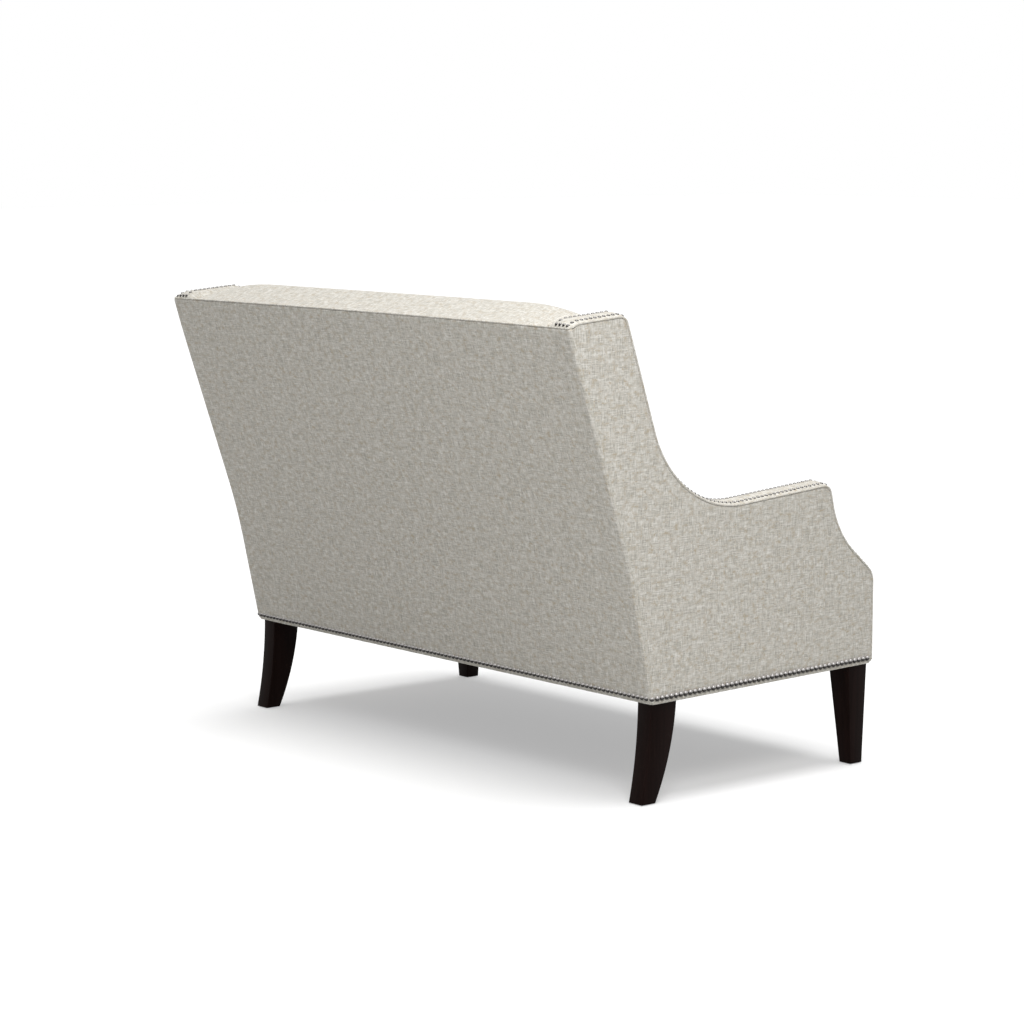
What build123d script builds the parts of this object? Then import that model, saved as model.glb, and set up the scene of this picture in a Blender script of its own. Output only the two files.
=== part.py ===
from build123d import *
import math
import os
from collections import namedtuple

# A two-seat settee with a raked back, short wings, scooped arms and sabre rear legs.
# Lengths are in millimetres and angles in degrees.
# X runs along the settee (+X is the sitter's left), the front faces -Y and Z is up.
# The origin is on the floor under the middle of the overall box.

# Width
overall_width = 1375.0
arm_thickness = 76.0

# Side view: the base and the raked back
base_depth = 639.0
base_rear_height = 207.2
base_front_height = 219.8
lower_rake_angle = 12.4
knee_height = 477.8
knee_radius = 1500.0
upper_rake_angle = 18.3
rear_top_height = 974.1

# Side view: the wing
wing_top_depth = 148.7
wing_front_rise = 20.8
wing_top_fall_angle = 4.6
wing_rear_fall_angle = 22.2
wing_front_rake_angle = 18.5
wing_front_radius = 22.0
wing_rear_radius = 40.0
arm_wing_radius = 240.0

# Side view: the arm, its scoop and its front shoulder
arm_front_set_back = 134.7
arm_front_height = 618.7
arm_top_rise_angle = 4.75
arm_front_radius = 22.0
scoop_upper_rake_angle = 12.4
scoop_radius = 196.0
scoop_lower_fall_angle = 40.6
shoulder_height = 416.2
shoulder_radius = 40.0

# Fabric, wadding and welts
fabric = 2.0
border_wadding = 6.0
welt_proud = 0.6
arm_welt_diameter = 4.8
back_welt_diameter = 4.4
base_welt_diameter = 8.0
rear_corner_radius = 8.0
base_corner_radius = 10.0
touch_gap = 0.3
welt_sides = 6
rod_sides = 8
glide_sides = 12

# Arm panels and the pieces between them
outer_panel = 18.0
inner_panel = 15.0
arm_foam = 13.0
arm_rail_width = 40.0
post_depth = 70.0
front_post_depth = 62.0
bottom_rail_height = 100.0

# Seat frame
front_rail_thickness = 32.0
seat_rail_top = 323.2
stretcher_width = 24.0
stretcher_set_down = 32.0
corner_block_leg = 70.0
corner_block_height = 66.0
corner_block_set_down = 16.0
dowel_diameter = 10.0
dowel_length = 60.0
dowel_into_rail = 30.0
dowel_spacing = 48.0
dowel_edge = 24.0
drill_clearance = 0.3

# Back frame
back_board = 25.0
lower_back_rail_rise = 5.0
lower_back_rail_height = 60.0
back_top_rail_set_down = 18.5
back_top_rail_height = 80.0
upright_width = 60.0
upright_side_gap = 210.0
upright_count = 3
webbing = 3.0
webbing_width = 50.0
webbing_count = 6
webbing_side_gap = 102.5

# Inside back
back_depth = 137.0
crest_rise = 54.3
crest_radius = 50.0
crest_end_length = 140.0
crest_end_drop = 24.0
crest_end_pull = 10.0
crest_end_steps = 3

# Springs, deck and dust cover
spring_wire = 4.0
spring_width = 44.0
spring_loops = 11
spring_count = 7
spring_side_gap = 85.0
clip_width = 24.0
clip_depth = 16.0
clip_plate = 1.2
deck_pad = 15.5
dust_sheet = 1.0
dust_side_gap = 9.0
dust_edge_gap = 1.0

# Seat cushion
cushion_boxing = 120.0
cushion_crown = 20.0
cushion_corner = 40.0
cushion_draw_in = 5.0
cushion_side_gap = 1.5
cushion_rear_gap = 1.5
cushion_welt_diameter = 6.0
cushion_corner_steps = 3
zip_end_gap = 152.5
zip_height = 20.0
zip_tape_thickness = 1.0
zip_middle = 60.0
slider_length = 12.0
slider_height = 9.0
slider_depth = 4.0
slider_end_gap = 10.0
pull_width = 4.0
pull_thickness = 1.5
pull_length = 22.0

# Legs, their bolts and glides
rear_leg_side_inset = 12.0
rear_leg_width = 40.0
rear_leg_set_in = 7.2
rear_leg_top_depth = 71.0
rear_leg_foot_depth = 37.3
rear_leg_sweep = 23.5
rear_leg_front_bow = 15.8
rear_leg_back_bow = 5.2
front_leg_side_inset = 8.5
front_leg_front_inset = 8.0
front_leg_top_width = 60.0
front_leg_top_depth = 56.6
front_leg_foot_width = 33.0
front_leg_foot_depth = 35.0
front_leg_foot_outer = 7.5
front_leg_foot_front = 2.9
leg_edge_chamfer = 1.5
glide_diameter = 22.0
glide_height = 2.0
bolt_diameter = 8.0
bolt_in_leg = 32.0
bolt_in_rail = 28.0
bolt_tip_gap = 2.0
insert_diameter = 12.0
insert_length = 20.0

# Values worked out from the sizes above
half_width = overall_width / 2
arm_inside = half_width - arm_thickness
panel_face = half_width - fabric
panel_back = panel_face - outer_panel
foam_back = arm_inside + fabric + arm_foam
inner_panel_back = foam_back + inner_panel
seat_half = arm_inside - touch_gap
border_depth = fabric + border_wadding
base_clear = base_welt_diameter
frame_gap = fabric + back_board
foam_gap = frame_gap + webbing
back_welt_gap = back_welt_diameter - welt_proud
deck_pad_bottom = seat_rail_top + spring_wire + clip_plate + touch_gap
deck_pad_top = deck_pad_bottom + deck_pad
deck_top = deck_pad_top + fabric
cushion_bottom = deck_top + touch_gap
outside = 20.0
far = 2000.0
corner_fill_ratio = 0.98

Side = namedtuple("Side", "point heading gap radius")


def direction(heading):
    """Unit vector in the side view for a heading turned from +Y towards +Z."""
    return math.cos(math.radians(heading)), math.sin(math.radians(heading))


def inset(side):
    """A side's line moved into the outline by its gap, as a point and a direction."""
    along, up = direction(side.heading)
    return (side.point[0] - up * side.gap, side.point[1] + along * side.gap), (along, up)


def meet(first, second):
    """Point where two lines of the side view cross."""
    (first_y, first_z), (first_along, first_up) = first
    (second_y, second_z), (second_along, second_up) = second
    cross = first_along * second_up - first_up * second_along
    reach = ((second_y - first_y) * second_up - (second_z - first_z) * second_along) / cross
    return first_y + reach * first_along, first_z + reach * first_up


def side_lines(front, border=0.0, rear=0.0, bottom=0.0):
    """The ten straight sides of the arm outline, in order from the bottom edge."""
    rear_base = (front + base_depth, base_rear_height)
    knee = (
        rear_base[0] + (knee_height - base_rear_height) * math.tan(math.radians(lower_rake_angle)),
        knee_height,
    )
    rear_top = (
        knee[0] + (rear_top_height - knee_height) * math.tan(math.radians(upper_rake_angle)),
        rear_top_height,
    )
    wing_front = (rear_top[0] - wing_top_depth, rear_top_height + wing_front_rise)
    arm_front = (front + arm_front_set_back, arm_front_height)
    shoulder = (front, shoulder_height)
    base_front = (front, base_front_height)
    base_tilt = math.degrees(math.atan2(base_rear_height - base_front_height, base_depth))
    return [
        Side(base_front, base_tilt, bottom, 0.0),
        Side(rear_base, 90 - lower_rake_angle, rear, 0.0),
        Side(knee, 90 - upper_rake_angle, rear, knee_radius),
        Side(rear_top, 180 - wing_rear_fall_angle, border, 0.0),
        Side(wing_front, 180 - wing_top_fall_angle, border, wing_rear_radius),
        Side(wing_front, 270 - wing_front_rake_angle, border, wing_front_radius),
        Side(arm_front, 180 - arm_top_rise_angle, border, arm_wing_radius),
        Side(arm_front, 270 - scoop_upper_rake_angle, border, arm_front_radius),
        Side(shoulder, 180 + scoop_lower_fall_angle, border, scoop_radius),
        Side(shoulder, 270, border, shoulder_radius),
    ]


def back_welt_middle(front):
    """Middle of the welt along the top of the outside back, in the side view."""
    sunk = back_welt_diameter / 2 - welt_proud
    lines = side_lines(front, border=sunk, rear=sunk)
    return meet(inset(lines[2]), inset(lines[3]))


# The front is placed so that the overall box is centred on the origin
front_y = -(back_welt_middle(0.0)[0] + back_welt_diameter / 2 - welt_proud) / 2
front_rail_back = front_y + fabric + front_rail_thickness


def turn_between(before, side):
    """Angle from one side's heading to the next one's, positive at an outer corner."""
    return (side.heading - before.heading + 180) % 360 - 180


def corner_radius(before, side):
    """Radius at the start of a side: an inset tightens outer corners and opens inner ones."""
    if side.radius == 0:
        return 0.0
    if turn_between(before, side) > 0:
        return max(side.radius - side.gap, 0.0)
    return side.radius + side.gap


def outline(border, rear, bottom):
    """Corner points and radii of the arm outline, set in by a gap on each edge."""
    sides = side_lines(front_y, border, rear, bottom)
    count = len(sides)
    corners = [meet(inset(sides[i - 1]), inset(sides[i])) for i in range(count)]
    kept = []
    for i, side in enumerate(sides):
        along, up = direction(side.heading)
        start, end = corners[i], corners[(i + 1) % count]
        # A side that the inset has swallowed runs backwards and is left out
        if (end[0] - start[0]) * along + (end[1] - start[1]) * up > 0:
            kept.append(side)
    count = len(kept)
    points = [meet(inset(kept[i - 1]), inset(kept[i])) for i in range(count)]
    radii = [corner_radius(kept[i - 1], kept[i]) for i in range(count)]
    turns = [abs(turn_between(kept[i - 1], kept[i])) for i in range(count)]
    reaches = [radii[i] * math.tan(math.radians(turns[i] / 2)) for i in range(count)]
    # Where two rounded corners would overrun the side between them, both shrink to fit it
    rooms = []
    for i in range(count):
        taken = reaches[i] + reaches[(i + 1) % count]
        length = math.dist(points[i], points[(i + 1) % count])
        rooms.append(min(1.0, corner_fill_ratio * length / taken) if taken else 1.0)
    return points, [radii[i] * min(rooms[i - 1], rooms[i]) for i in range(count)]


def side_slab(x_from, x_to, border, rear, bottom):
    """The arm outline, set in by its gaps and extruded between two places along X."""
    points, radii = outline(border, rear, bottom)
    face = make_face(FilletPolyline(*points, radius=radii, close=True))
    return extrude(Plane.YZ.offset(x_from) * face, amount=x_to - x_from)


def block(x_from, x_to, y_from, y_to, z_from, z_to):
    """A box between two corners."""
    middle = Pos((x_from + x_to) / 2, (y_from + y_to) / 2, (z_from + z_to) / 2)
    return middle * Box(x_to - x_from, y_to - y_from, z_to - z_from)


def slice_between(z_from, z_to):
    """Everything between two heights."""
    return block(-far, far, -far, far, z_from, z_to)


def rear_point(gap, height):
    """Point of the side view at a height, a gap inside the raked rear."""
    lines = side_lines(front_y, rear=gap)
    line = lines[1] if height < knee_height else lines[2]
    return meet(inset(line), ((0.0, height), direction(0)))


def knee_point(gap):
    """Corner between the lower and upper rake, a gap inside the rear."""
    lines = side_lines(front_y, rear=gap)
    return meet(inset(lines[1]), inset(lines[2]))


def rear_band(x_from, x_to, gap_from, gap_to, z_from, z_to):
    """A board that follows the raked rear, between two depths and two heights."""
    low, high = 0.0, rear_top_height + outside
    points = [
        rear_point(gap_from, low),
        knee_point(gap_from),
        rear_point(gap_from, high),
        rear_point(gap_to, high),
        knee_point(gap_to),
        rear_point(gap_to, low),
    ]
    radii = [0, knee_radius + gap_from, 0, 0, knee_radius + gap_to, 0]
    face = make_face(FilletPolyline(*points, radius=radii, close=True))
    band = extrude(Plane.YZ.offset(x_from) * face, amount=x_to - x_from)
    return band & slice_between(z_from, z_to)


def base_height(y, gap=0.0):
    """Height of the tilted lower edge of the base, raised by a gap square to it."""
    line = inset(side_lines(front_y, bottom=gap)[0])
    return meet(line, ((y, 0.0), direction(90)))[1]


def other_side(shape):
    """The same piece on the sitter's right."""
    return mirror(shape, about=Plane.YZ)


def tube(path, diameter):
    """A welt along a path, with few sides."""
    section = RegularPolygon(diameter / 2, welt_sides)
    return sweep(Plane(origin=path @ 0, z_dir=path % 0) * section, path=path)


def rounded_body(half, border, rear, bottom, radius):
    """The arm outline over a whole width, with its two raked rear corners rounded."""
    body = side_slab(-half, half, border, rear, bottom)
    lines = [inset(line) for line in side_lines(front_y, rear=rear)[1:3]]

    def on_rear(point):
        return any(
            abs((point.Y - y) * up - (point.Z - z) * along) < touch_gap
            for (y, z), (along, up) in lines
        )

    corners = [
        edge
        for edge in body.edges()
        if abs(abs(edge.center().X) - half) < touch_gap
        and on_rear(edge @ 0)
        and on_rear(edge @ 1)
    ]
    return fillet(corners, radius)


# Outside covers: one skin over the two sides and the back, parted behind the rear corners
outer_body = rounded_body(half_width, 0, 0, base_clear, rear_corner_radius)
panel_body = rounded_body(panel_face, -outside, fabric, -outside, rear_corner_radius - fabric)
skin = outer_body - panel_body
behind_corner = rear_band(-far, far, -outside, rear_corner_radius, 0, far)
back_cover_limit = side_slab(-half_width, half_width, back_welt_gap, -outside, base_clear)
outside_back_cover = skin & behind_corner & back_cover_limit
arm_welt_inner = arm_welt_diameter - welt_proud
arm_cover_limit = side_slab(0, half_width, arm_welt_inner, rear_corner_radius, base_clear)
outside_arm_cover = (skin & arm_cover_limit) - behind_corner

# Arm panels of plywood, and the posts and rails between them
side_panel = side_slab(panel_back, panel_face, border_depth, fabric, base_clear) & panel_body
inner_arm_panel = side_slab(foam_back, inner_panel_back, border_depth, fabric, base_clear)
arm_core = side_slab(inner_panel_back, panel_back, border_depth, fabric, base_clear)
arm_hollow = side_slab(
    inner_panel_back,
    panel_back,
    border_depth + arm_rail_width,
    fabric + post_depth,
    base_clear + bottom_rail_height,
)
arm_ring = arm_core - arm_hollow
above_bottom_rail = side_slab(0, far, -outside, -outside, base_clear + bottom_rail_height)
before_rear_post = side_slab(0, far, -outside, fabric + post_depth, -outside)
front_post_zone = block(0, far, -far, front_y + border_depth + front_post_depth, 0, far)
arm_bottom_rail = arm_ring - above_bottom_rail
arm_rear_post = (arm_ring & above_bottom_rail) - before_rear_post
arm_front_post = arm_ring & above_bottom_rail & before_rear_post & front_post_zone
arm_rail = (arm_ring & above_bottom_rail & before_rear_post) - front_post_zone

# Arm upholstery
above_seat_rails = slice_between(seat_rail_top + touch_gap, far)
arm_pad = side_slab(arm_inside + fabric, foam_back, border_depth, foam_gap, base_clear)
arm_pad = arm_pad & above_seat_rails
inside_arm_cover = side_slab(arm_inside, arm_inside + fabric, fabric, foam_gap, base_clear)
inside_arm_cover = inside_arm_cover & above_seat_rails
border_outer = half_width - arm_welt_inner
border_body = rounded_body(
    border_outer, -outside, back_welt_gap, -outside, rear_corner_radius - arm_welt_inner
)
arm_border = side_slab(arm_inside, border_outer, 0, back_welt_gap, base_clear) & border_body
arm_border -= side_slab(0, far, fabric, -outside, -outside)
wadding_inside = arm_inside + fabric
wadding = side_slab(wadding_inside, border_outer, fabric, back_welt_gap, base_clear) & border_body
wadding -= side_slab(0, far, border_depth, -outside, -outside)
wadding -= block(0, foam_back, -far, front_rail_back, 0, seat_rail_top)


def arm_welt():
    """Welt between the outside arm and the border, from the wing's rear corner to the base."""
    sunk = arm_welt_diameter / 2 - welt_proud
    points, radii = outline(sunk, sunk, base_clear)
    along, up = direction(180 - wing_rear_fall_angle)
    turn = rear_corner_radius - sunk + touch_gap
    start = (points[3][0] + turn * along, points[3][1] + turn * up)
    line = FilletPolyline(start, *points[4:], points[0], radius=radii[4:])
    return tube(Plane.YZ.offset(half_width - sunk) * line, arm_welt_diameter)


def back_top_welt():
    """Welt along the top of the outside back, turned forward at both corners."""
    sunk = back_welt_diameter / 2 - welt_proud
    y, z = back_welt_middle(front_y)
    along, up = direction(180 - wing_rear_fall_angle)
    turn = rear_corner_radius - sunk
    end_y, end_z = y + turn * along, z + turn * up
    x = half_width - sunk
    line = FilletPolyline(
        (-x, end_y, end_z), (-x, y, z), (x, y, z), (x, end_y, end_z),
        radius=[turn * corner_fill_ratio] * 2,
    )
    return tube(line, back_welt_diameter)


def base_welt():
    """Welt round the lower edge of the base, on its tilted plane."""
    sunk = base_welt_diameter / 2 - welt_proud
    x = half_width - sunk
    lines = side_lines(front_y, border=sunk, rear=sunk, bottom=base_welt_diameter / 2)
    rear = meet(inset(lines[0]), inset(lines[1]))
    front = meet(inset(lines[9]), inset(lines[0]))
    line = FilletPolyline(
        (-x, *front), (x, *front), (x, *rear), (-x, *rear),
        radius=base_corner_radius - sunk,
        close=True,
    )
    return tube(line, base_welt_diameter)


# Seat frame between the inner arm panels
seat_boards = side_slab(-foam_back, foam_back, fabric, fabric, base_clear)
below_springs = slice_between(0, seat_rail_top)
front_seat_rail = seat_boards & below_springs & block(-far, far, -far, front_rail_back, 0, far)
back_seat_rail = rear_band(-foam_back, foam_back, fabric, frame_gap, 0, seat_rail_top)
back_seat_rail = back_seat_rail & seat_boards
between_rails = side_slab(
    -foam_back, foam_back, fabric + front_rail_thickness, frame_gap, base_clear
)
seat_stretcher = between_rails & block(
    -stretcher_width / 2, stretcher_width / 2, -far, far, 0, seat_rail_top - stretcher_set_down
)


corner_block_bottom = seat_rail_top - corner_block_set_down - corner_block_height


def corner_block(corner_y, towards):
    """Glue block in a corner between a rail and the inner arm panel."""
    points = [
        (foam_back, corner_y - towards * outside),
        (foam_back, corner_y + towards * corner_block_leg),
        (foam_back - corner_block_leg - outside, corner_y - towards * outside),
    ]
    face = make_face(Polyline(*points, close=True))
    bottom = Pos(0, 0, corner_block_bottom)
    return extrude(bottom * face, amount=corner_block_height, dir=(0, 0, 1))


rear_rail_front = rear_point(frame_gap, corner_block_bottom)[0]
left_blocks = [
    corner_block(front_rail_back, 1) & between_rails,
    corner_block(rear_rail_front, -1) & between_rails,
]
corner_blocks = left_blocks + [other_side(piece) for piece in left_blocks]

# Back frame: two rails and uprights that follow the rake
lower_back_rail_bottom = deck_top + lower_back_rail_rise
lower_back_rail_top = lower_back_rail_bottom + lower_back_rail_height
back_top_rail_top = rear_top_height - back_top_rail_set_down
back_top_rail_bottom = back_top_rail_top - back_top_rail_height
back_lower_rail = rear_band(
    -foam_back, foam_back, fabric, frame_gap, lower_back_rail_bottom, lower_back_rail_top
)
back_top_rail = rear_band(
    -foam_back, foam_back, fabric, frame_gap, back_top_rail_bottom, back_top_rail_top
)


def spread(count, side_gap):
    """Evenly spaced places along X, the outer ones a gap away from the arms."""
    half = arm_inside - side_gap
    return [half * (2 * i / (count - 1) - 1) for i in range(count)]


back_uprights = [
    rear_band(
        x - upright_width / 2, x + upright_width / 2,
        fabric, frame_gap, lower_back_rail_top, back_top_rail_bottom,
    )
    for x in spread(upright_count, upright_side_gap)
]
back_webbing = [
    rear_band(
        x - webbing_width / 2, x + webbing_width / 2,
        frame_gap, foam_gap, lower_back_rail_bottom, back_top_rail_top,
    )
    for x in spread(webbing_count, webbing_side_gap)
]


def dowel_places():
    """Side-view places of the dowels at one end of the rails."""
    front_middle = front_y + fabric + front_rail_thickness / 2
    back_middle = fabric + back_board / 2
    base_front = base_height(front_middle, base_clear)
    base_rear = base_height(front_y + base_depth, base_clear)
    top_low = back_top_rail_bottom + (back_top_rail_height - dowel_spacing) / 2
    places = []
    for step in (0, dowel_spacing):
        places.append((front_middle, base_front + dowel_edge + step))
        places.append(rear_point(back_middle, base_rear + dowel_edge + step))
        places.append(rear_point(back_middle, top_low + step))
    return places


def rods_along_x(places, diameter, x_from, x_to):
    """Rods along X at places of the side view."""
    start = Plane.YZ.offset(x_from)
    section = RegularPolygon(diameter / 2, rod_sides)
    return [extrude(start * Pos(*place) * section, amount=x_to - x_from) for place in places]


dowel_from = foam_back - dowel_into_rail
dowel_to = dowel_from + dowel_length
dowels = rods_along_x(dowel_places(), dowel_diameter, dowel_from, dowel_to)
frame_dowels = dowels + [other_side(rod) for rod in dowels]
drill = dowel_diameter + drill_clearance
dowel_holes = rods_along_x(
    dowel_places(), drill, dowel_from - drill_clearance, dowel_to + drill_clearance
)
all_dowel_holes = dowel_holes + [other_side(hole) for hole in dowel_holes]
front_seat_rail -= all_dowel_holes
back_seat_rail -= all_dowel_holes
back_top_rail -= all_dowel_holes
inner_arm_panel -= dowel_holes
arm_bottom_rail -= dowel_holes
arm_rear_post -= dowel_holes

# Seat springs: sinuous wire between clips on the front and back rails
spring_front = front_y + fabric + front_rail_thickness / 2
spring_back = rear_point(fabric + back_board / 2, seat_rail_top)[0]
loop_step = (spring_back - spring_front) / spring_loops


def spring(x):
    """One flat zigzag of wire, with a cross bar at each half wave."""
    bars = []
    reach = (spring_width - spring_wire) / 2
    for loop in range(spring_loops + 1):
        y = spring_front + loop * loop_step
        bars.append(Pos(x, y) * Rectangle(spring_width, spring_wire))
        if loop < spring_loops:
            side = x + reach * (-1) ** loop
            bars.append(Pos(side, y + loop_step / 2) * Rectangle(spring_wire, loop_step))
    return extrude(Pos(0, 0, seat_rail_top) * (Sketch() + bars), amount=spring_wire)


def clip(x, y):
    """Plate bent over the end bar of a spring."""
    top = seat_rail_top + spring_wire + clip_plate
    plate = block(
        x - clip_width / 2, x + clip_width / 2,
        y - clip_depth / 2, y + clip_depth / 2, seat_rail_top, top,
    )
    half_channel = (spring_wire + touch_gap) / 2
    channel = block(
        x - clip_width, x + clip_width,
        y - half_channel, y + half_channel, 0, seat_rail_top + spring_wire,
    )
    return plate - channel


spring_places = spread(spring_count, spring_side_gap)
seat_springs = [spring(x) for x in spring_places]
spring_clips = [clip(x, y) for x in spring_places for y in (spring_front, spring_back)]

# Deck, front cover and dust cover
seat_room = side_slab(-seat_half, seat_half, fabric, foam_gap, base_clear)
seat_deck_pad = seat_room & slice_between(deck_pad_bottom, deck_pad_top)
deck_cloth = seat_room & slice_between(deck_pad_top, deck_top)
front_rail_cover = side_slab(-seat_half, seat_half, 0, fabric, base_clear) & block(
    -far, far, -far, front_y + fabric, 0, deck_top
)
dust_half = foam_back - dust_side_gap
dust_edge = base_welt_diameter - welt_proud + dust_edge_gap
dust_cover = side_slab(-dust_half, dust_half, dust_edge, dust_edge, base_clear - dust_sheet)
dust_cover -= side_slab(-far, far, 0, 0, base_clear)


def end_curve(x, length):
    """How far the rounded ends of the inside back have turned, from 0 to 1."""
    into_end = max(0.0, abs(x) - (seat_half - length)) / length
    return 1 - math.sqrt(max(0.0, 1 - into_end ** 2))


def back_section(x, skin):
    """Section of the inside back, set in by a skin on its front and top."""
    turned = end_curve(x, crest_end_length)
    front_gap = back_depth - skin - crest_end_pull * turned
    crest_height = rear_top_height + crest_rise - crest_end_drop * turned
    bottom = deck_top + touch_gap
    shelf = back_top_rail_top + touch_gap
    crest = rear_point(front_gap, crest_height)
    rear_edge = rear_point(back_welt_gap, rear_top_height)
    rise, run = crest[1] - rear_edge[1], rear_edge[0] - crest[0]
    slope = math.hypot(rise, run) / run
    points = [
        rear_point(foam_gap, bottom),
        knee_point(foam_gap),
        rear_point(foam_gap, shelf),
        rear_point(back_welt_gap, shelf),
        (rear_edge[0], rear_edge[1] - skin * slope),
        (crest[0], crest[1] - skin * slope),
        knee_point(front_gap),
        rear_point(front_gap, bottom),
    ]
    knees = (knee_radius + foam_gap, knee_radius + front_gap)
    radii = [0, knees[0], 0, 0, 0, crest_radius - skin, knees[1], 0]
    face = make_face(FilletPolyline(*points, radius=radii, close=True))
    return Plane.YZ.offset(x) * face


def back_form(skin):
    """The inside back as a loft from wing to wing."""
    turns = [90 * step / crest_end_steps for step in range(crest_end_steps + 1)]
    right = [
        seat_half - crest_end_length * (1 - math.sin(math.radians(turn))) for turn in turns
    ]
    places = [-x for x in reversed(right)] + right
    return loft([back_section(x, skin) for x in places], ruled=True)


back_foam = back_form(fabric)
inside_back_cover = back_form(0.0) - back_foam

# Seat cushion: the boxing stands inside the welts that edge its top and bottom
cushion_half = arm_inside - cushion_side_gap - cushion_welt_diameter
cushion_front = front_y + fabric + cushion_welt_diameter
cushion_wall = rear_point(back_depth, cushion_bottom)[0] - cushion_rear_gap
cushion_rear = cushion_wall - cushion_welt_diameter
cushion_top = cushion_bottom + cushion_boxing


def corner_cut(x, skin):
    """How far a rounded corner of the cushion has turned in at a place along X."""
    radius = cushion_corner - skin
    past = min(max(0.0, abs(x) - (cushion_half - cushion_corner)), radius)
    return skin + radius - math.sqrt(radius ** 2 - past ** 2)


def cushion_section(x, skin):
    """Section of the cushion: flat below, straight boxing, a crowned top."""
    draw_in = cushion_draw_in * (1 - (x / cushion_half) ** 2)
    front = cushion_front + corner_cut(x, skin) + draw_in
    rear = cushion_rear - corner_cut(x, skin)
    low, high = cushion_bottom + skin, cushion_top - skin
    crown = cushion_crown * (1 - (x / cushion_half) ** 2) + touch_gap
    top = ThreePointArc((rear, high), ((front + rear) / 2, high + crown), (front, high))
    boxing = Polyline((front, high), (front, low), (rear, low), (rear, high))
    return Plane.YZ.offset(x) * make_face([top, boxing])


def cushion_form(skin):
    """The crowned cushion as a loft along its length."""
    straight = cushion_half - cushion_corner
    turns = [90 * step / cushion_corner_steps for step in range(cushion_corner_steps + 1)]
    corner = cushion_corner - skin
    ends = [straight + corner * math.sin(math.radians(turn)) for turn in turns]
    right = [straight / 2] + ends
    places = [-x for x in reversed(right)] + [0.0] + right
    return loft([cushion_section(x, skin) for x in places], ruled=True)


def cushion_welt(height, grow):
    """Welt round the cushion's plan, grown outward from the boxing."""
    half = cushion_half + grow
    front, rear = cushion_front - grow, cushion_rear + grow
    front_edge = ThreePointArc((-half, front), (0, front + cushion_draw_in), (half, front))
    others = Polyline((half, front), (half, rear), (-half, rear), (-half, front))
    plan = make_face([front_edge, others])
    plan = fillet(plan.vertices(), cushion_corner + grow)
    return tube(Pos(0, 0, height) * plan.face().outer_wire(), cushion_welt_diameter)


seat_cushion_core = cushion_form(fabric)
seat_cushion_cover = cushion_form(0.0) - seat_cushion_core
welt_radius = cushion_welt_diameter / 2
welt_lean = welt_radius * math.sqrt(0.5)
seat_cushion_welts = [
    cushion_welt(cushion_bottom + welt_radius, welt_radius + touch_gap),
    cushion_welt(cushion_top + welt_lean, welt_lean + touch_gap),
]

# Zip in the rear boxing
zip_half = cushion_half - zip_end_gap
zip_z = cushion_bottom + zip_middle
zip_tape = block(
    -zip_half, zip_half,
    cushion_rear, cushion_rear + zip_tape_thickness,
    zip_z - zip_height / 2, zip_z + zip_height / 2,
)
slider_x = zip_half - slider_end_gap - slider_length / 2
slider_y = cushion_rear + zip_tape_thickness + touch_gap
zip_slider = block(
    slider_x - slider_length / 2, slider_x + slider_length / 2,
    slider_y, slider_y + slider_depth,
    zip_z - slider_height / 2, zip_z + slider_height / 2,
) + block(
    slider_x - pull_width / 2, slider_x + pull_width / 2,
    slider_y + slider_depth - pull_thickness, slider_y + slider_depth,
    zip_z - pull_length, zip_z,
)

# Legs, on the sitter's left
above_base = side_slab(0, far, -outside, -outside, base_clear)
rear_leg_outer = half_width - rear_leg_side_inset
front_leg_outer = half_width - front_leg_side_inset
front_leg_front = front_y + front_leg_front_inset
leg_reach = base_height(front_y, base_clear) + glide_height


def eased_leg(leg):
    """A leg with its long edges eased and its top cut to the tilt of the base."""
    upright = [edge for edge in leg.edges() if abs((edge @ 0).Z - (edge @ 1).Z) > leg_reach / 2]
    return chamfer(upright, leg_edge_chamfer) - above_base


def rear_leg():
    """Sabre leg: a board sawn to two sweeping curves."""
    back = front_y + base_depth - rear_leg_set_in
    front = back - rear_leg_top_depth
    foot = back + rear_leg_sweep
    middle = (leg_reach + glide_height) / 2
    back_curve = ThreePointArc(
        (back, leg_reach), (back + rear_leg_back_bow, middle), (foot, glide_height)
    )
    front_curve = ThreePointArc(
        (front, leg_reach),
        (front + rear_leg_front_bow, middle),
        (foot - rear_leg_foot_depth, glide_height),
    )
    ends = [
        Line(back_curve @ 0, front_curve @ 0),
        Line(back_curve @ 1, front_curve @ 1),
    ]
    profile = make_face([back_curve, front_curve] + ends)
    inner_face = Plane.YZ.offset(rear_leg_outer - rear_leg_width)
    return eased_leg(extrude(inner_face * profile, amount=rear_leg_width))


def front_leg():
    """Straight leg, tapered on all four faces: where its front and side views cross."""
    foot_outer = front_leg_outer - front_leg_foot_outer
    foot_front = front_leg_front + front_leg_foot_front
    front_view = make_face(Polyline(
        (front_leg_outer, leg_reach),
        (front_leg_outer - front_leg_top_width, leg_reach),
        (foot_outer - front_leg_foot_width, glide_height),
        (foot_outer, glide_height),
        close=True,
    ))
    side_view = make_face(Polyline(
        (front_leg_front, leg_reach),
        (front_leg_front + front_leg_top_depth, leg_reach),
        (foot_front + front_leg_foot_depth, glide_height),
        (foot_front, glide_height),
        close=True,
    ))
    across = extrude(Plane.XZ * front_view, amount=far, both=True)
    return eased_leg(across & extrude(Plane.YZ * side_view, amount=far))


def rod_up(x, y, diameter, z_from, z_to):
    """An upright rod."""
    section = RegularPolygon(diameter / 2, rod_sides)
    return extrude(Pos(x, y, z_from) * section, amount=z_to - z_from)


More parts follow.
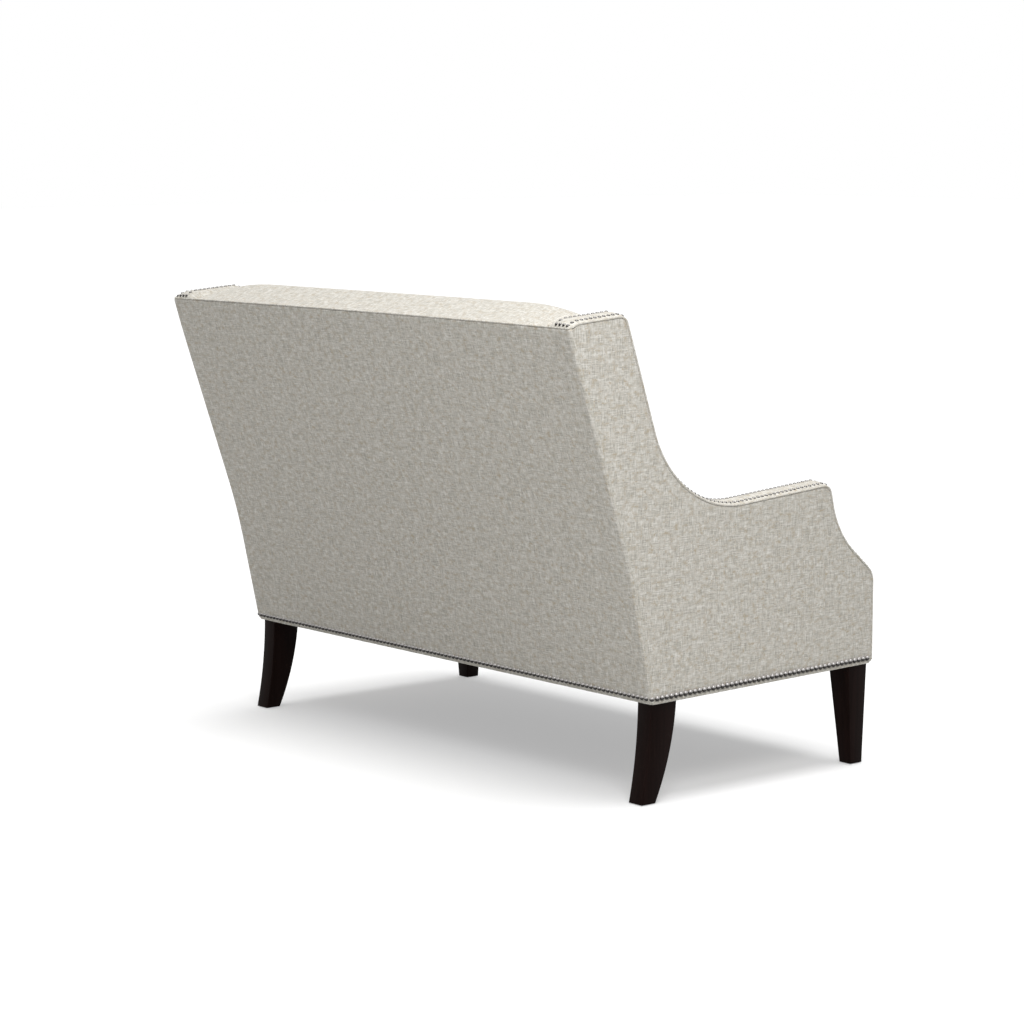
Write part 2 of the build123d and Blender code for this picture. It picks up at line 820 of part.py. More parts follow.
rear_bolt_y = front_y + base_depth - rear_leg_set_in - rear_leg_top_depth / 2
front_bolt_y = front_leg_front + front_leg_top_depth / 2
bolt_places = [
    (rear_leg_outer - rear_leg_width / 2, rear_bolt_y),
    (front_leg_outer - front_leg_top_width / 2, front_bolt_y),
]
rear_foot_y = front_y + base_depth - rear_leg_set_in + rear_leg_sweep - rear_leg_foot_depth / 2
front_foot_y = front_leg_front + front_leg_foot_front + front_leg_foot_depth / 2
foot_places = [
    (rear_leg_outer - rear_leg_width / 2, rear_foot_y),
    (front_leg_outer - front_leg_foot_outer - front_leg_foot_width / 2, front_foot_y),
]
left_bolts = []
left_inserts = []
left_legs = []
for (x, y), leg in zip(bolt_places, (rear_leg(), front_leg())):
    seat = base_height(y, base_clear)
    tip, head = seat - bolt_in_leg, seat + bolt_in_rail
    left_bolts.append(rod_up(x, y, bolt_diameter, tip, head))
    bolt_hole = bolt_diameter + drill_clearance
    left_legs.append(leg - rod_up(x, y, bolt_hole, tip - bolt_tip_gap, far))
    insert = rod_up(x, y, insert_diameter, seat + touch_gap, seat + touch_gap + insert_length)
    left_inserts.append(insert - rod_up(x, y, bolt_hole, 0, far))
    arm_bottom_rail -= rod_up(x, y, insert_diameter + drill_clearance, 0, head + bolt_tip_gap)
glide = extrude(RegularPolygon(glide_diameter / 2, glide_sides), amount=glide_height)
left_glides = [Pos(x, y, 0) * glide for x, y in foot_places]


def both_sides(pieces):
    """A group of pieces on the left, and the same on the right."""
    return pieces + [other_side(piece) for piece in pieces]


# Pieces that come as a left and a right one
paired = {
    "side_panel": side_panel,
    "inner_panel": inner_arm_panel,
    "rear_post": arm_rear_post,
    "front_post": arm_front_post,
    "arm_rail": arm_rail,
    "bottom_rail": arm_bottom_rail,
    "arm_foam": arm_pad,
    "border_wadding": wadding,
    "outside_arm_cover": outside_arm_cover,
    "inside_arm_cover": inside_arm_cover,
    "arm_border": arm_border,
    "arm_welt": arm_welt(),
    "rear_leg": left_legs[0],
    "front_leg": left_legs[1],
}

# Single pieces, and groups of like pieces
nodes = {
    "front_seat_rail": front_seat_rail,
    "back_seat_rail": back_seat_rail,
    "seat_stretcher": seat_stretcher,
    "corner_blocks": corner_blocks,
    "frame_dowels": frame_dowels,
    "back_lower_rail": back_lower_rail,
    "back_top_rail": back_top_rail,
    "back_uprights": back_uprights,
    "back_webbing": back_webbing,
    "seat_springs": seat_springs,
    "spring_clips": spring_clips,
    "seat_deck_pad": seat_deck_pad,
    "deck_cloth": deck_cloth,
    "front_rail_cover": front_rail_cover,
    "dust_cover": dust_cover,
    "back_foam": back_foam,
    "inside_back_cover": inside_back_cover,
    "outside_back_cover": outside_back_cover,
    "back_top_welt": back_top_welt(),
    "base_welt": base_welt(),
    "leg_hanger_bolts": both_sides(left_bolts),
    "leg_inserts": both_sides(left_inserts),
    "leg_glides": both_sides(left_glides),
    "seat_cushion_cover": seat_cushion_cover,
    "seat_cushion_core": seat_cushion_core,
    "seat_cushion_welts": seat_cushion_welts,
    "zip_tape": zip_tape,
    "zip_slider": zip_slider,
}
for name, piece in paired.items():
    nodes["left_" + name] = piece
    nodes["right_" + name] = other_side(piece)

os.makedirs("parts", exist_ok=True)
for name, piece in nodes.items():
    group = piece if isinstance(piece, list) else [piece]
    children = [solid for part in group for solid in part.solids()]
    export_step(Compound(children=children), f"parts/{name}.step")
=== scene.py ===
import math

import bpy
import numpy as np
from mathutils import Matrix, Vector
from mathutils.geometry import delaunay_2d_cdt


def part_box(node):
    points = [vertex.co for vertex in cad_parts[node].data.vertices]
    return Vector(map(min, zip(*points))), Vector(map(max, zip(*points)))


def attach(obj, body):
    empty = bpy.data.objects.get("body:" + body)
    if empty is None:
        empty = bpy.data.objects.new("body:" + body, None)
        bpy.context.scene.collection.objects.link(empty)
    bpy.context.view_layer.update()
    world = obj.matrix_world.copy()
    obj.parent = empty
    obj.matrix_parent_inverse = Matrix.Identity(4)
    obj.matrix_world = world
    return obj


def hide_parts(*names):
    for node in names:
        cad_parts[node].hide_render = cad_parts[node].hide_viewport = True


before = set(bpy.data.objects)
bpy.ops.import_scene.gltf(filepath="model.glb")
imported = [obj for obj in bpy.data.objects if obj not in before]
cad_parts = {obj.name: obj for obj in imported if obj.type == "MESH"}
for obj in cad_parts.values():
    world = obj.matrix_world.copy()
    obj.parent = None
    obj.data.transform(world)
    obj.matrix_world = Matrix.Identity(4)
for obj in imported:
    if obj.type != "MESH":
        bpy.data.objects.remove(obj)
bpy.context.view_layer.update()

# Lengths are in metres and angles in degrees, in the frame of the solids.
# X runs along the settee, the front faces -Y and Z is up.

# Side view of the base and the raked back
base_depth = 0.639
base_rear_height = 0.2072
base_front_height = 0.2198
lower_rake = 12.4
knee_height = 0.4778
knee_radius = 1.5
upper_rake = 18.3
rear_top_height = 0.9741

# Side view of the wing, arm and shoulder
wing_top_depth = 0.1487
wing_front_rise = 0.0200
wing_top_fall = 4.6
wing_rear_fall = 22.2
wing_front_rake = 18.5
wing_front_radius = 0.022
wing_rear_radius = 0.040
arm_wing_radius = 0.240
arm_front_set_back = 0.1347
arm_front_height = 0.6165
arm_top_rise = 4.5
arm_front_radius = 0.023
scoop_upper_rake = 12.4
scoop_radius = 0.196
scoop_lower_fall = 40.6
shoulder_height = 0.4162
shoulder_radius = 0.040
least_radius = 0.004

# Fabric, seams and welts
cloth = 0.0016
rim_angle = 60.0
hair_gap = 0.0002
touch_gap = 0.0003
rear_corner_radius = 0.0055
base_corner_radius = 0.010
arm_welt_radius = 0.0023
back_welt_radius = 0.0017
base_welt_radius = 0.004
cushion_welt_radius = 0.003
welt_proud = 0.0006
welt_waver = 0.03
arm_seam_slot = 0.0004
back_seam_slot = 0.0015
seam_turn = 0.0014
seam_depth = 0.0045
# How an edge turns into its seam, as shares of the turn and of the depth
seam_section = np.array([(0.6, 0.06), (0.95, 0.25), (1.0, 1.0)])
base_clear = 2 * base_welt_radius
arm_welt_inner = 2 * arm_welt_radius - welt_proud
back_welt_gap = 2 * back_welt_radius - welt_proud

# Outside covers
corner_fill = 0.0042
corner_fill_reach = 0.035
corner_fill_rise = 0.40
corner_fill_fade = 0.05
corner_fill_top_share = 0.7
foot_roll = 0.0022
foot_roll_height = 0.007
back_bulge = 0.0012
back_top_bow = 0.003
end_crowding = 0.12

# Padded borders
border_crown = 0.0054
border_middle = 0.038
border_roll = 0.0068
border_inner_fall = 0.0085
border_end_roll = 0.012
border_lip = 0.028
border_edge = 0.003
border_flush_height = 0.03
border_flush_reach = 0.09
pucker_depth = 0.0003
pucker_reach = 0.006

# Decorative nails
nail_radius = 0.0043
nail_height = 0.0041
nail_pitch = 0.0116
nail_wobble = 0.025
nail_dent = 0.0007
nail_dent_reach = 0.004
outer_row_inset = 0.011
inner_row_inset = 0.043
nail_closing_gap = 0.0075
closing_nails = 4
base_nail_height = 0.0128
base_nail_pitch = 0.0130
base_nail_scale = 1.28
base_nail_front_radius = 0.006
arm_welt_room = 0.008

# Inside arms
inside_arm_gap = 0.012
inside_arm_tuck = 0.015
arm_swell = 0.0035
arm_swell_height = 0.47
arm_swell_rise = 0.06
arm_swell_edge = 0.05
arm_edge_dip = 0.0012
arm_edge_reach = 0.010

# Inside back
back_depth = 0.137
back_foam_gap = 0.030
back_foot_gap = 0.002
back_swell = 0.012
back_swell_low = 0.50
back_swell_span = 0.42
back_swell_power = 1.2
back_tuck = 0.010
back_tuck_reach = 0.030
crest_rise = 0.0533
crest_radius = 0.050
crest_run = 0.16
crest_blend = 0.06
crest_end_length = 0.165
crest_end_drop = 0.0275
crest_tuck_length = 0.018
crest_tuck_drop = 0.012
crest_end_pull = 0.010

# Seat, deck and underside
lip_depth = 0.110
lip_roll = 0.012
end_tuck = 0.0015
end_tuck_reach = 0.008
spring_spacing = 0.175
deck_sink = 0.0008
deck_seam = 0.003
deck_seam_reach = 0.006
deck_sag = 0.001
deck_ripple = 0.0006
back_board_gap = 0.027
webbing_width = 0.050
webbing_count = 6
webbing_thickness = 0.002
dust_edge = 0.008
dust_thickness = 0.0008
dust_sag = 0.004
dust_even_share = 0.6
staple_pitch = 0.045
staple_inset = 0.008
staple_first_gap = 0.04
staple_end_gap = 0.03
staple_last_gap = 0.02
staple_half_length = 0.005
staple_half_wire = 0.0005

# Cushion and zip
cushion_boxing = 0.120
cushion_corner = 0.040
cushion_crown = 0.012
cushion_crown_reach = 0.22
cushion_crown_power = 2.5
cushion_draw_in = 0.005
cushion_draw_reach = 0.3
cushion_rows = 8
zip_side_room = 0.02
zip_height_room = 0.012
zip_depth_room = 0.001
tape_thickness = 0.0006
tape_slope = 0.0003
tape_fold = 0.004
tape_meeting = 0.0012
tooth_pitch = 0.0024
tooth_end_gap = 0.006
tooth_shift = 0.0006
tooth_half_size = (0.0008, 0.0006, 0.0016)
slider_half_height = 0.0045
slider_thickness = 0.0022
slider_loop_half = (0.0035, 0.002)
pull_half_width = 0.002
pull_thickness = 0.0015
pull_rise = 0.0006
slider_ease = 0.0005

# Legs and glides
leg_edge = 0.0013
glide_height = 0.002
glide_radius = 0.011
rear_leg_side_inset = 0.012
rear_leg_width = 0.040
rear_leg_set_in = 0.0072
rear_leg_top_depth = 0.071
rear_leg_foot_depth = 0.0373
rear_leg_sweep = 0.0235
rear_leg_front_bow = 0.0158
rear_leg_back_bow = 0.0052
front_leg_side_inset = 0.0085
front_leg_front_inset = 0.008
front_leg_top_width = 0.060
front_leg_top_depth = 0.0566
front_leg_foot_width = 0.033
front_leg_foot_depth = 0.035
front_leg_foot_outer = 0.0075
front_leg_foot_front = 0.0029

# Light and camera
ambient = 0.34
floor_tone = 0.55
floor_glow = 0.395
floor_reach = 40.0
lens = 102.78
sensor = 36.0
camera_place = (-4.9401, 4.5507, 1.3516)
camera_azimuth = 230.1889
camera_elevation = 7.4252

# Places taken from the solids
half_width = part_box("left_outside_arm_cover")[1].x
arm_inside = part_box("left_arm_border")[0].x
front_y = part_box("front_rail_cover")[0].y
seat_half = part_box("seat_deck_pad")[1].x
deck_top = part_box("deck_cloth")[1].z
cushion_low, cushion_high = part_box("seat_cushion_cover")
cushion_top = cushion_low.z + cushion_boxing
border_outer = half_width - arm_welt_inner
nail_rows = (half_width - outer_row_inset, half_width - inner_row_inset)
both_sides = ((1, "left"), (-1, "right"))
body = "settee_frame"
cushion_body = "seat_cushion"
upholstery = "upholstery_fabric"
random = np.random.default_rng(7)


# Side view

def direction(heading):
    """Unit vector in the side view for a heading turned from +Y towards +Z."""
    return np.array([math.cos(math.radians(heading)), math.sin(math.radians(heading))])


def meet(first, second):
    """Point where two lines of the side view cross, each a point and a direction."""
    (start, along), (other, across) = first, second
    apart = other - start
    reach = (apart[0] * across[1] - apart[1] * across[0]) / (along[0] * across[1] - along[1] * across[0])
    return start + reach * along


def side_lines(border=0.0, rear=0.0, bottom=0.0):
    """The ten straight sides of the arm outline as lines, each set in by a gap."""
    rear_base = np.array([front_y + base_depth, base_rear_height])
    lower_run = (knee_height - base_rear_height) * math.tan(math.radians(lower_rake))
    knee = np.array([rear_base[0] + lower_run, knee_height])
    upper_run = (rear_top_height - knee_height) * math.tan(math.radians(upper_rake))
    rear_top = np.array([knee[0] + upper_run, rear_top_height])
    wing_front = rear_top + np.array([-wing_top_depth, wing_front_rise])
    arm_front = np.array([front_y + arm_front_set_back, arm_front_height])
    shoulder = np.array([front_y, shoulder_height])
    base_front = np.array([front_y, base_front_height])
    base_tilt = math.degrees(math.atan2(base_rear_height - base_front_height, base_depth))
    sides = [
        (base_front, base_tilt, bottom),
        (rear_base, 90 - lower_rake, rear),
        (knee, 90 - upper_rake, rear),
        (rear_top, 180 - wing_rear_fall, border),
        (wing_front, 180 - wing_top_fall, border),
        (wing_front, 270 - wing_front_rake, border),
        (arm_front, 180 - arm_top_rise, border),
        (arm_front, 270 - scoop_upper_rake, border),
        (shoulder, 180 + scoop_lower_fall, border),
        (shoulder, 270, border),
    ]
    lines = []
    for point, heading, gap in sides:
        along, up = direction(heading)
        lines.append((point + gap * np.array([-up, along]), np.array([along, up])))
    return lines


def rounded(points, radii, turn_step=1.5):
    """Points along a line whose inner corners are rounded by the radii."""
    points = np.asarray(points, float)
    path = [points[0]]
    for before, corner, after, radius in zip(points, points[1:], points[2:], radii):
        back = (before - corner) / np.linalg.norm(before - corner)
        ahead = (after - corner) / np.linalg.norm(after - corner)
        half = math.acos(np.clip(back @ ahead, -1, 1)) / 2
        start = corner + back * radius / math.tan(half)
        centre = corner + (back + ahead) / np.linalg.norm(back + ahead) * radius / math.sin(half)
        turn = math.copysign(math.pi - 2 * half, ahead[0] * back[1] - ahead[1] * back[0])
        steps = max(2, math.ceil(abs(math.degrees(turn)) / turn_step))
        arm = start - centre
        for angle in np.linspace(0, turn, steps + 1):
            c, s = math.cos(angle), math.sin(angle)
            path.append(centre + np.array([c * arm[0] - s * arm[1], s * arm[0] + c * arm[1]]))
    path.append(points[-1])
    return np.array(path)


def lengths_along(path):
    """Distance from the start of a path to each of its points."""
    return np.concatenate([[0], np.cumsum(np.linalg.norm(np.diff(path, axis=0), axis=1))])


def at(places, along, values):
    """Values at places between the points of a path, whose distances along it are given."""
    return np.stack([np.interp(places, along, axis) for axis in values.T], axis=-1)


def evenly(path, spacing):
    """The path again, with points about a spacing apart."""
    path = np.asarray(path)
    along = lengths_along(path)
    count = max(2, round(along[-1] / spacing) + 1)
    return at(np.linspace(0, along[-1], count), along, path)


def border_line(gap, rear=0.0, bottom=base_clear):
    """The edge of the arm from the rear of the wing to the foot of the front, set in by a gap."""
    lines = side_lines(gap, rear, bottom)
    corners = [meet(lines[i - 1], lines[i]) for i in range(3, 10)] + [meet(lines[9], lines[0])]
    radii = [
        wing_rear_radius - gap,
        max(wing_front_radius - gap, least_radius),
        arm_wing_radius + gap,
        max(arm_front_radius - gap, least_radius),
        scoop_radius + gap,
        shoulder_radius - gap,
    ]
    if corners[1][0] > corners[0][0]:
        # Far in from the rear, the slope at the back of the wing is cut away
        corners = [meet(lines[2], lines[4])] + corners[2:]
        radii = radii[1:]
    return rounded(corners, radii)


def unit(vectors):
    """Vectors brought to length 1."""
    return vectors / np.linalg.norm(vectors, axis=1)[:, None]


def outward(path):
    """Unit normals of a border line, pointing out of the arm."""
    along = unit(np.gradient(path, axis=0))
    return np.stack([along[:, 1], -along[:, 0]], axis=1)


def rear_line(gap, low, high):
    """The raked rear set in by a gap, from one line of the side view up to another."""
    lines = side_lines(rear=gap)
    points = [meet(low, lines[1]), meet(lines[1], lines[2]), meet(lines[2], high)]
    return rounded(points, [knee_radius + gap])


def level(height):
    """A level line of the side view."""
    return np.array([0.0, height]), direction(0)


def fade(values, reach):
    """1 where a value is 0, easing out to 0 at a reach."""
    return np.clip(1 - values / reach, 0, 1) ** 2


def bell(values, reach):
    """1 where a value is 0, falling off evenly on both sides."""
    return np.exp(-(values / reach) ** 2)


# Meshes

def new_piece(name, points, faces, weave=None):
    """A smooth mesh object, with weave coordinates in metres for its points."""
    mesh = bpy.data.meshes.new(name)
    mesh.from_pydata([tuple(p) for p in points], [], [tuple(f) for f in faces])
    mesh.update()
    mesh.shade_smooth()
    piece = bpy.data.objects.new(name, mesh)
    bpy.context.scene.collection.objects.link(piece)
    if weave is not None:
        numbers = np.zeros(len(mesh.loops), np.int32)
        mesh.loops.foreach_get("vertex_index", numbers)
        layer = mesh.uv_layers.new(name="weave")
        layer.data.foreach_set("uv", np.asarray(weave)[numbers].astype(np.float32).ravel())
    return piece


def joined(name, parts):
    """One mesh from several parts, each its points and faces."""
    points, faces = [], []
    for part_points, part_faces in parts:
        start = len(points)
        points += list(part_points)
        faces += [tuple(start + i for i in face) for face in part_faces]
    return new_piece(name, points, faces)


def weave_by_facing(mesh):
    """Weave coordinates laid flat on each face along the two axes that it spans."""
    layer = mesh.uv_layers.get("weave") or mesh.uv_layers.new(name="weave")
    spans = {0: (1, 2), 1: (0, 2), 2: (0, 1)}
    for face in mesh.polygons:
        first, second = spans[int(np.argmax(np.abs(face.normal)))]
        for corner in face.loop_indices:
            place = mesh.vertices[mesh.loops[corner].vertex_index].co
            layer.data[corner].uv = (place[first], place[second])


def grid_faces(rows, columns, closed=False, flip=False):
    """Four-sided faces over rows and columns of points, the columns closed into a ring or not."""
    faces = []
    for r in range(rows - 1):
        for c in range(columns if closed else columns - 1):
            d = (c + 1) % columns
            face = (r * columns + c, r * columns + d, (r + 1) * columns + d, (r + 1) * columns + c)
            faces.append(face[::-1] if flip else face)
    return faces


def grid_piece(name, points, weave, flip=False):
    """A sheet from rows and columns of points."""
    faces = grid_faces(*points.shape[:2], flip=flip)
    return new_piece(name, points.reshape(-1, 3), faces, weave.reshape(-1, 2))


def column(x, line, across, up):
    """One column of a sheet: points at X along a line of the side view, and their weave."""
    return np.column_stack(np.broadcast_arrays(x, *line.T, across, up))


def sheet_of(name, columns, flip=False):
    """A sheet from its columns."""
    grid = np.stack(columns, axis=1)
    return grid_piece(name, grid[..., :3], grid[..., 3:], flip)


def thicken(piece, thickness=cloth):
    """Give a sheet its thickness, inward, with crisp rims."""
    solid = piece.modifiers.new("thickness", "SOLIDIFY")
    solid.thickness = thickness
    solid.offset = -1
    apply_modifiers(piece)
    return crisp(piece)


def crisp(piece):
    """Keep the sharp edges of a smooth piece sharp."""
    piece.data.set_sharp_from_angle(angle=math.radians(rim_angle))
    return piece


def apply_modifiers(piece):
    """Keep the mesh that a piece's modifiers make."""
    view = bpy.context.evaluated_depsgraph_get()
    made = bpy.data.meshes.new_from_object(piece.evaluated_get(view))
    piece.modifiers.clear()
    piece.data = made


def inside_outline(points, outline):
    """Which points lie inside a closed outline."""
    within = np.zeros(len(points), bool)
    for a, b in zip(outline, np.roll(outline, -1, axis=0)):
        crosses = (a[1] > points[:, 1]) != (b[1] > points[:, 1])
        if a[1] != b[1]:
            place = a[0] + (points[:, 1] - a[1]) * (b[0] - a[0]) / (b[1] - a[1])
            within ^= crosses & (points[:, 0] < place)
    return within


def distance_to(points, path):
    """Distance from each point to a path of the same plane."""
    best = np.full(len(points), np.inf)
    for a, b in zip(path, path[1:]):
        span = b - a
        share = np.clip((points - a) @ span / max(span @ span, 1e-12), 0, 1)
        best = np.minimum(best, np.linalg.norm(points - a - share[:, None] * span, axis=1))
    return best


def filled(outline, spacing):
    """Points and triangles over a flat outline: its own points and a grid inside it."""
    low, high = outline.min(0), outline.max(0)
    across = np.arange(low[0] + spacing / 2, high[0], spacing)
    up = np.arange(low[1] + spacing / 2, high[1], spacing)
    grid = np.array([(a, b) for b in up for a in across])
    grid = grid[inside_outline(grid, outline)]
    grid = grid[distance_to(grid, np.vstack([outline, outline[:1]])) > spacing / 2]
    points = [Vector(p) for p in np.vstack([outline, grid])]
    made = delaunay_2d_cdt(points, [], [list(range(len(outline)))], 1, 1e-7)
    return np.array([tuple(p) for p in made[0]]), [tuple(f) for f in made[2]]


def tube_piece(name, path, radius, closed=False, sides=12):
    """A welt: a round cord in bias-cut fabric along a path."""
    path = np.asarray(path, float)
    if closed:
        along = unit(np.roll(path, -1, axis=0) - np.roll(path, 1, axis=0))
    else:
        along = unit(np.gradient(path, axis=0))
    side = np.cross(along[0], [0.0, 0.0, 1.0])
    if np.linalg.norm(side) < 0.1:
        side = np.array([1.0, 0.0, 0.0])
    turns = np.arange(sides)[:, None] * 2 * math.pi / sides
    rings = []
    for i, (place, ahead) in enumerate(zip(path, along)):
        side = side - ahead * (side @ ahead)
        side /= np.linalg.norm(side)
        swell = radius * (1 + welt_waver * math.sin(i * 0.9) * math.sin(i * 0.37))
        rings.append(place + swell * (np.cos(turns) * side + np.sin(turns) * np.cross(ahead, side)))
    run = lengths_along(path)[:, None]
    girth = turns.T * radius
    weave = np.stack([run + girth, run - girth], axis=2) * math.sqrt(0.5)
    points = np.array(rings)
    if closed:
        points = np.concatenate([points, points[:1]])
        weave = np.concatenate([weave, weave[:1]])
    rows = len(points)
    faces = grid_faces(rows, sides, closed=True)
    if not closed:
        faces += [tuple(range(sides))[::-1], tuple(range((rows - 1) * sides, rows * sides))]
    return new_piece(name, points.reshape(-1, 3), faces, weave.reshape(-1, 2))


def turned(profile, radius, height, segments):
    """A form turned about Z from shares of its radius and height, with a tip in the middle of its top."""
    turns = np.arange(segments) * 2 * math.pi / segments
    points = []
    for reach, rise in profile:
        away = radius * reach
        points += list(np.column_stack(np.broadcast_arrays(
            away * np.cos(turns), away * np.sin(turns), height * rise)))
    points.append((0.0, 0.0, height))
    faces = grid_faces(len(profile), segments, closed=True)
    last = (len(profile) - 1) * segments
    faces += [(last + k, last + (k + 1) % segments, len(points) - 1) for k in range(segments)]
    faces.append(tuple(range(segments))[::-1])
    return np.array(points), faces


def box_mesh(middle, half):
    """Points and faces of a box from its middle and half its size."""
    corners = [(a, b, c) for c in (-1, 1) for a, b in ((-1, -1), (1, -1), (1, 1), (-1, 1))]
    faces = [(3, 2, 1, 0), (4, 5, 6, 7), (0, 1, 5, 4), (1, 2, 6, 5), (2, 3, 7, 6), (3, 0, 4, 7)]
    return np.array(middle) + np.array(half) * np.array(corners), faces


def sided(points, side):
    """Points of a left piece, or the same on the right."""
    return points * np.array([side, 1, 1])


# Materials

def new_material(name):
    """A node material, its node tree and its shader."""
    material = bpy.data.materials.new(name)
    material.use_nodes = True
    return material, material.node_tree, material.node_tree.nodes["Principled BSDF"]


def add_node(tree, kind, values=None, **settings):
    """A node with its settings and the values of its sockets."""
    node = tree.nodes.new(kind)
    for name, value in settings.items():
        setattr(node, name, value)
    set_values(node, values or {})
    return node


def set_values(node, values):
    """Set sockets of a node to plain values."""
    for name, value in values.items():
        node.inputs[name].default_value = value


def stretched_noise(tree, source, scale, detail=2.0, roughness=0.5):
    """Noise drawn out along the axes by a scale for each."""
    mapping = add_node(tree, "ShaderNodeMapping", {"Scale": scale})
    tree.links.new(source, mapping.inputs["Vector"])
    made = add_node(tree, "ShaderNodeTexNoise", {"Scale": 1.0, "Detail": detail, "Roughness": roughness})
    tree.links.new(mapping.outputs["Vector"], made.inputs["Vector"])
    return made.outputs["Fac"]


def maths(tree, operation, first, second):
    """A sum, product or the like of two sockets or numbers."""
    node = add_node(tree, "ShaderNodeMath", operation=operation)
    for socket, value in zip(node.inputs, (first, second)):
        if isinstance(value, (int, float)):
            socket.default_value = value
        else:
            tree.links.new(value, socket)
    return node.outputs["Value"]


def ramp(tree, factor, *stops):
    """A colour ramp through stops of place and colour, or of place and grey tone."""
    node = add_node(tree, "ShaderNodeValToRGB")
    elements = node.color_ramp.elements
    while len(elements) < len(stops):
        elements.new(0.5)
    for element, (place, colour) in zip(elements, stops):
        element.position = place
        element.color = (*colour, 1.0) if isinstance(colour, tuple) else (colour, colour, colour, 1.0)
    tree.links.new(factor, node.inputs["Fac"])
    return node.outputs["Color"]


def bumped(tree, shader, height, strength, distance):
    """Bump from a height on a shader's normal."""
    node = add_node(tree, "ShaderNodeBump", {"Strength": strength, "Distance": distance})
    tree.links.new(height, node.inputs["Height"])
    tree.links.new(node.outputs["Normal"], shader.inputs["Normal"])


def fabric_material():
    """Heathered linen weave: slubby warp and weft threads with beige flecks."""
    material, tree, shader = new_material(upholstery)
    weave = add_node(tree, "ShaderNodeUVMap", uv_map="weave").outputs["UV"]
    warp = stretched_noise(tree, weave, (430.0, 32.0, 1.0))
    weft = stretched_noise(tree, weave, (32.0, 430.0, 1.0))
    fine_warp = stretched_noise(tree, weave, (1100.0, 90.0, 1.0), 1.0)
    fine_weft = stretched_noise(tree, weave, (90.0, 1100.0, 1.0), 1.0)
    heather = stretched_noise(tree, weave, (72.0, 95.0, 1.0), 4.0, 0.65)
    threads = maths(tree, "ADD", warp, weft)
    fine = maths(tree, "ADD", fine_warp, fine_weft)
    tone = maths(tree, "ADD", maths(tree, "MULTIPLY", threads, 0.32), maths(tree, "MULTIPLY", fine, 0.18))
    dark, middle, light = (0.35, 0.33, 0.285), (0.535, 0.515, 0.465), (0.68, 0.665, 0.625)
    fleck = (0.375, 0.315, 0.225)
    flecks = maths(tree, "MULTIPLY", heather, maths(tree, "MULTIPLY", threads, 0.5))
    mix = add_node(tree, "ShaderNodeMix", data_type="RGBA")
    colours = [socket for socket in mix.inputs if socket.type == "RGBA"]
    tree.links.new(ramp(tree, flecks, (0.25, 0.0), (0.36, 0.85)), mix.inputs["Factor"])
    tree.links.new(ramp(tree, tone, (0.42, dark), (0.50, middle), (0.58, light)), colours[0])
    colours[1].default_value = (*fleck, 1.0)
    mixed = next(socket for socket in mix.outputs if socket.type == "RGBA")
    tree.links.new(mixed, shader.inputs["Base Color"])
    set_values(shader, {"Roughness": 0.92, "Specular IOR Level": 0.2, "Sheen Weight": 0.20,
                        "Sheen Roughness": 0.5})
    bumped(tree, shader, maths(tree, "ADD", threads, fine), strength=0.4, distance=0.0012)
    return material


def nail_material(name, stops, painted_top_tone, metallic):
    """Pewter nails with painted light and shade: lighter where they face up, painted shade where they face
    down, with faint random tarnish.
    """
    material, tree, shader = new_material(name)
    facing = add_node(tree, "ShaderNodeNewGeometry").outputs["Normal"]
    parts = add_node(tree, "ShaderNodeSeparateXYZ")
    tree.links.new(facing, parts.inputs["Vector"])
    place = add_node(tree, "ShaderNodeTexCoord").outputs["Object"]
    stain = stretched_noise(tree, place, (160.0, 160.0, 160.0), 3.0)
    # Painted light and shade: the tone rises with how far each point of a nail faces up, plus random tarnish
    painted_light_and_tarnish = maths(tree, "ADD", parts.outputs["Z"], maths(tree, "MULTIPLY", stain, 0.2))
    tones = [(0.03, 0.027, 0.025), (0.11, 0.104, 0.1), (painted_top_tone, painted_top_tone * 0.96, painted_top_tone * 0.94)]
    tree.links.new(ramp(tree, painted_light_and_tarnish, *zip(stops, tones)), shader.inputs["Base Color"])
    set_values(shader, {"Roughness": 0.4, "Metallic": metallic})
    return material


def grained_material(name, dark, light, scales, detail, roughness, grain_roughness=0.5, stops=(0.35, 0.65),
                     gloss_spread=0.0, bump=None, **values):
    """Two tones from a noise, or from the mean of two, which may also vary the gloss and raise a bump."""
    material, tree, shader = new_material(name)
    place = add_node(tree, "ShaderNodeTexCoord").outputs["Object"]
    noises = [stretched_noise(tree, place, scale, detail, grain_roughness) for scale in scales]
    grain = noises[0]
    if len(noises) > 1:
        grain = maths(tree, "MULTIPLY", maths(tree, "ADD", *noises), 0.5)
    tree.links.new(ramp(tree, grain, (stops[0], dark), (stops[1], light)), shader.inputs["Base Color"])
    if gloss_spread:
        gloss = ramp(tree, grain, (0.3, roughness), (0.7, roughness + gloss_spread))
        tree.links.new(gloss, shader.inputs["Roughness"])
    else:
        shader.inputs["Roughness"].default_value = roughness
    set_values(shader, {name.replace("_", " "): value for name, value in values.items()})
    if bump:
        bumped(tree, shader, grain, *bump)
    return material


def wood_material(name, dark, light, roughness, grain, specular=0.5):
    """Wood with grain along one axis."""
    return grained_material(name, dark, light, [grain], 6.0, roughness, 0.6, gloss_spread=0.12,
                            bump=(0.12, 0.0006), Specular_IOR_Level=specular)


def metal_material(name, dark, light, roughness):
    """Metal with faint tarnish."""
    return grained_material(name, dark, light, [(160.0, 160.0, 160.0)], 3.0, roughness, gloss_spread=0.1,
                            Metallic=1.0)


def cloth_material(name, dark, light, scale):
    """A plain woven or felted cloth that needs no weave coordinates."""
    threads = [(scale, scale / 12, scale / 12), (scale / 12, scale, scale)]
    return grained_material(name, dark, light, threads, 2.0, 0.95, bump=(0.3, 0.0008), Specular_IOR_Level=0.2)


def plastic_material(name, dark, light, roughness):
    """Moulded plastic with a fine grain."""
    return grained_material(name, dark, light, [(700.0, 700.0, 700.0)], 3.0, roughness, stops=(0.3, 0.7),
                            bump=(0.08, 0.0004))


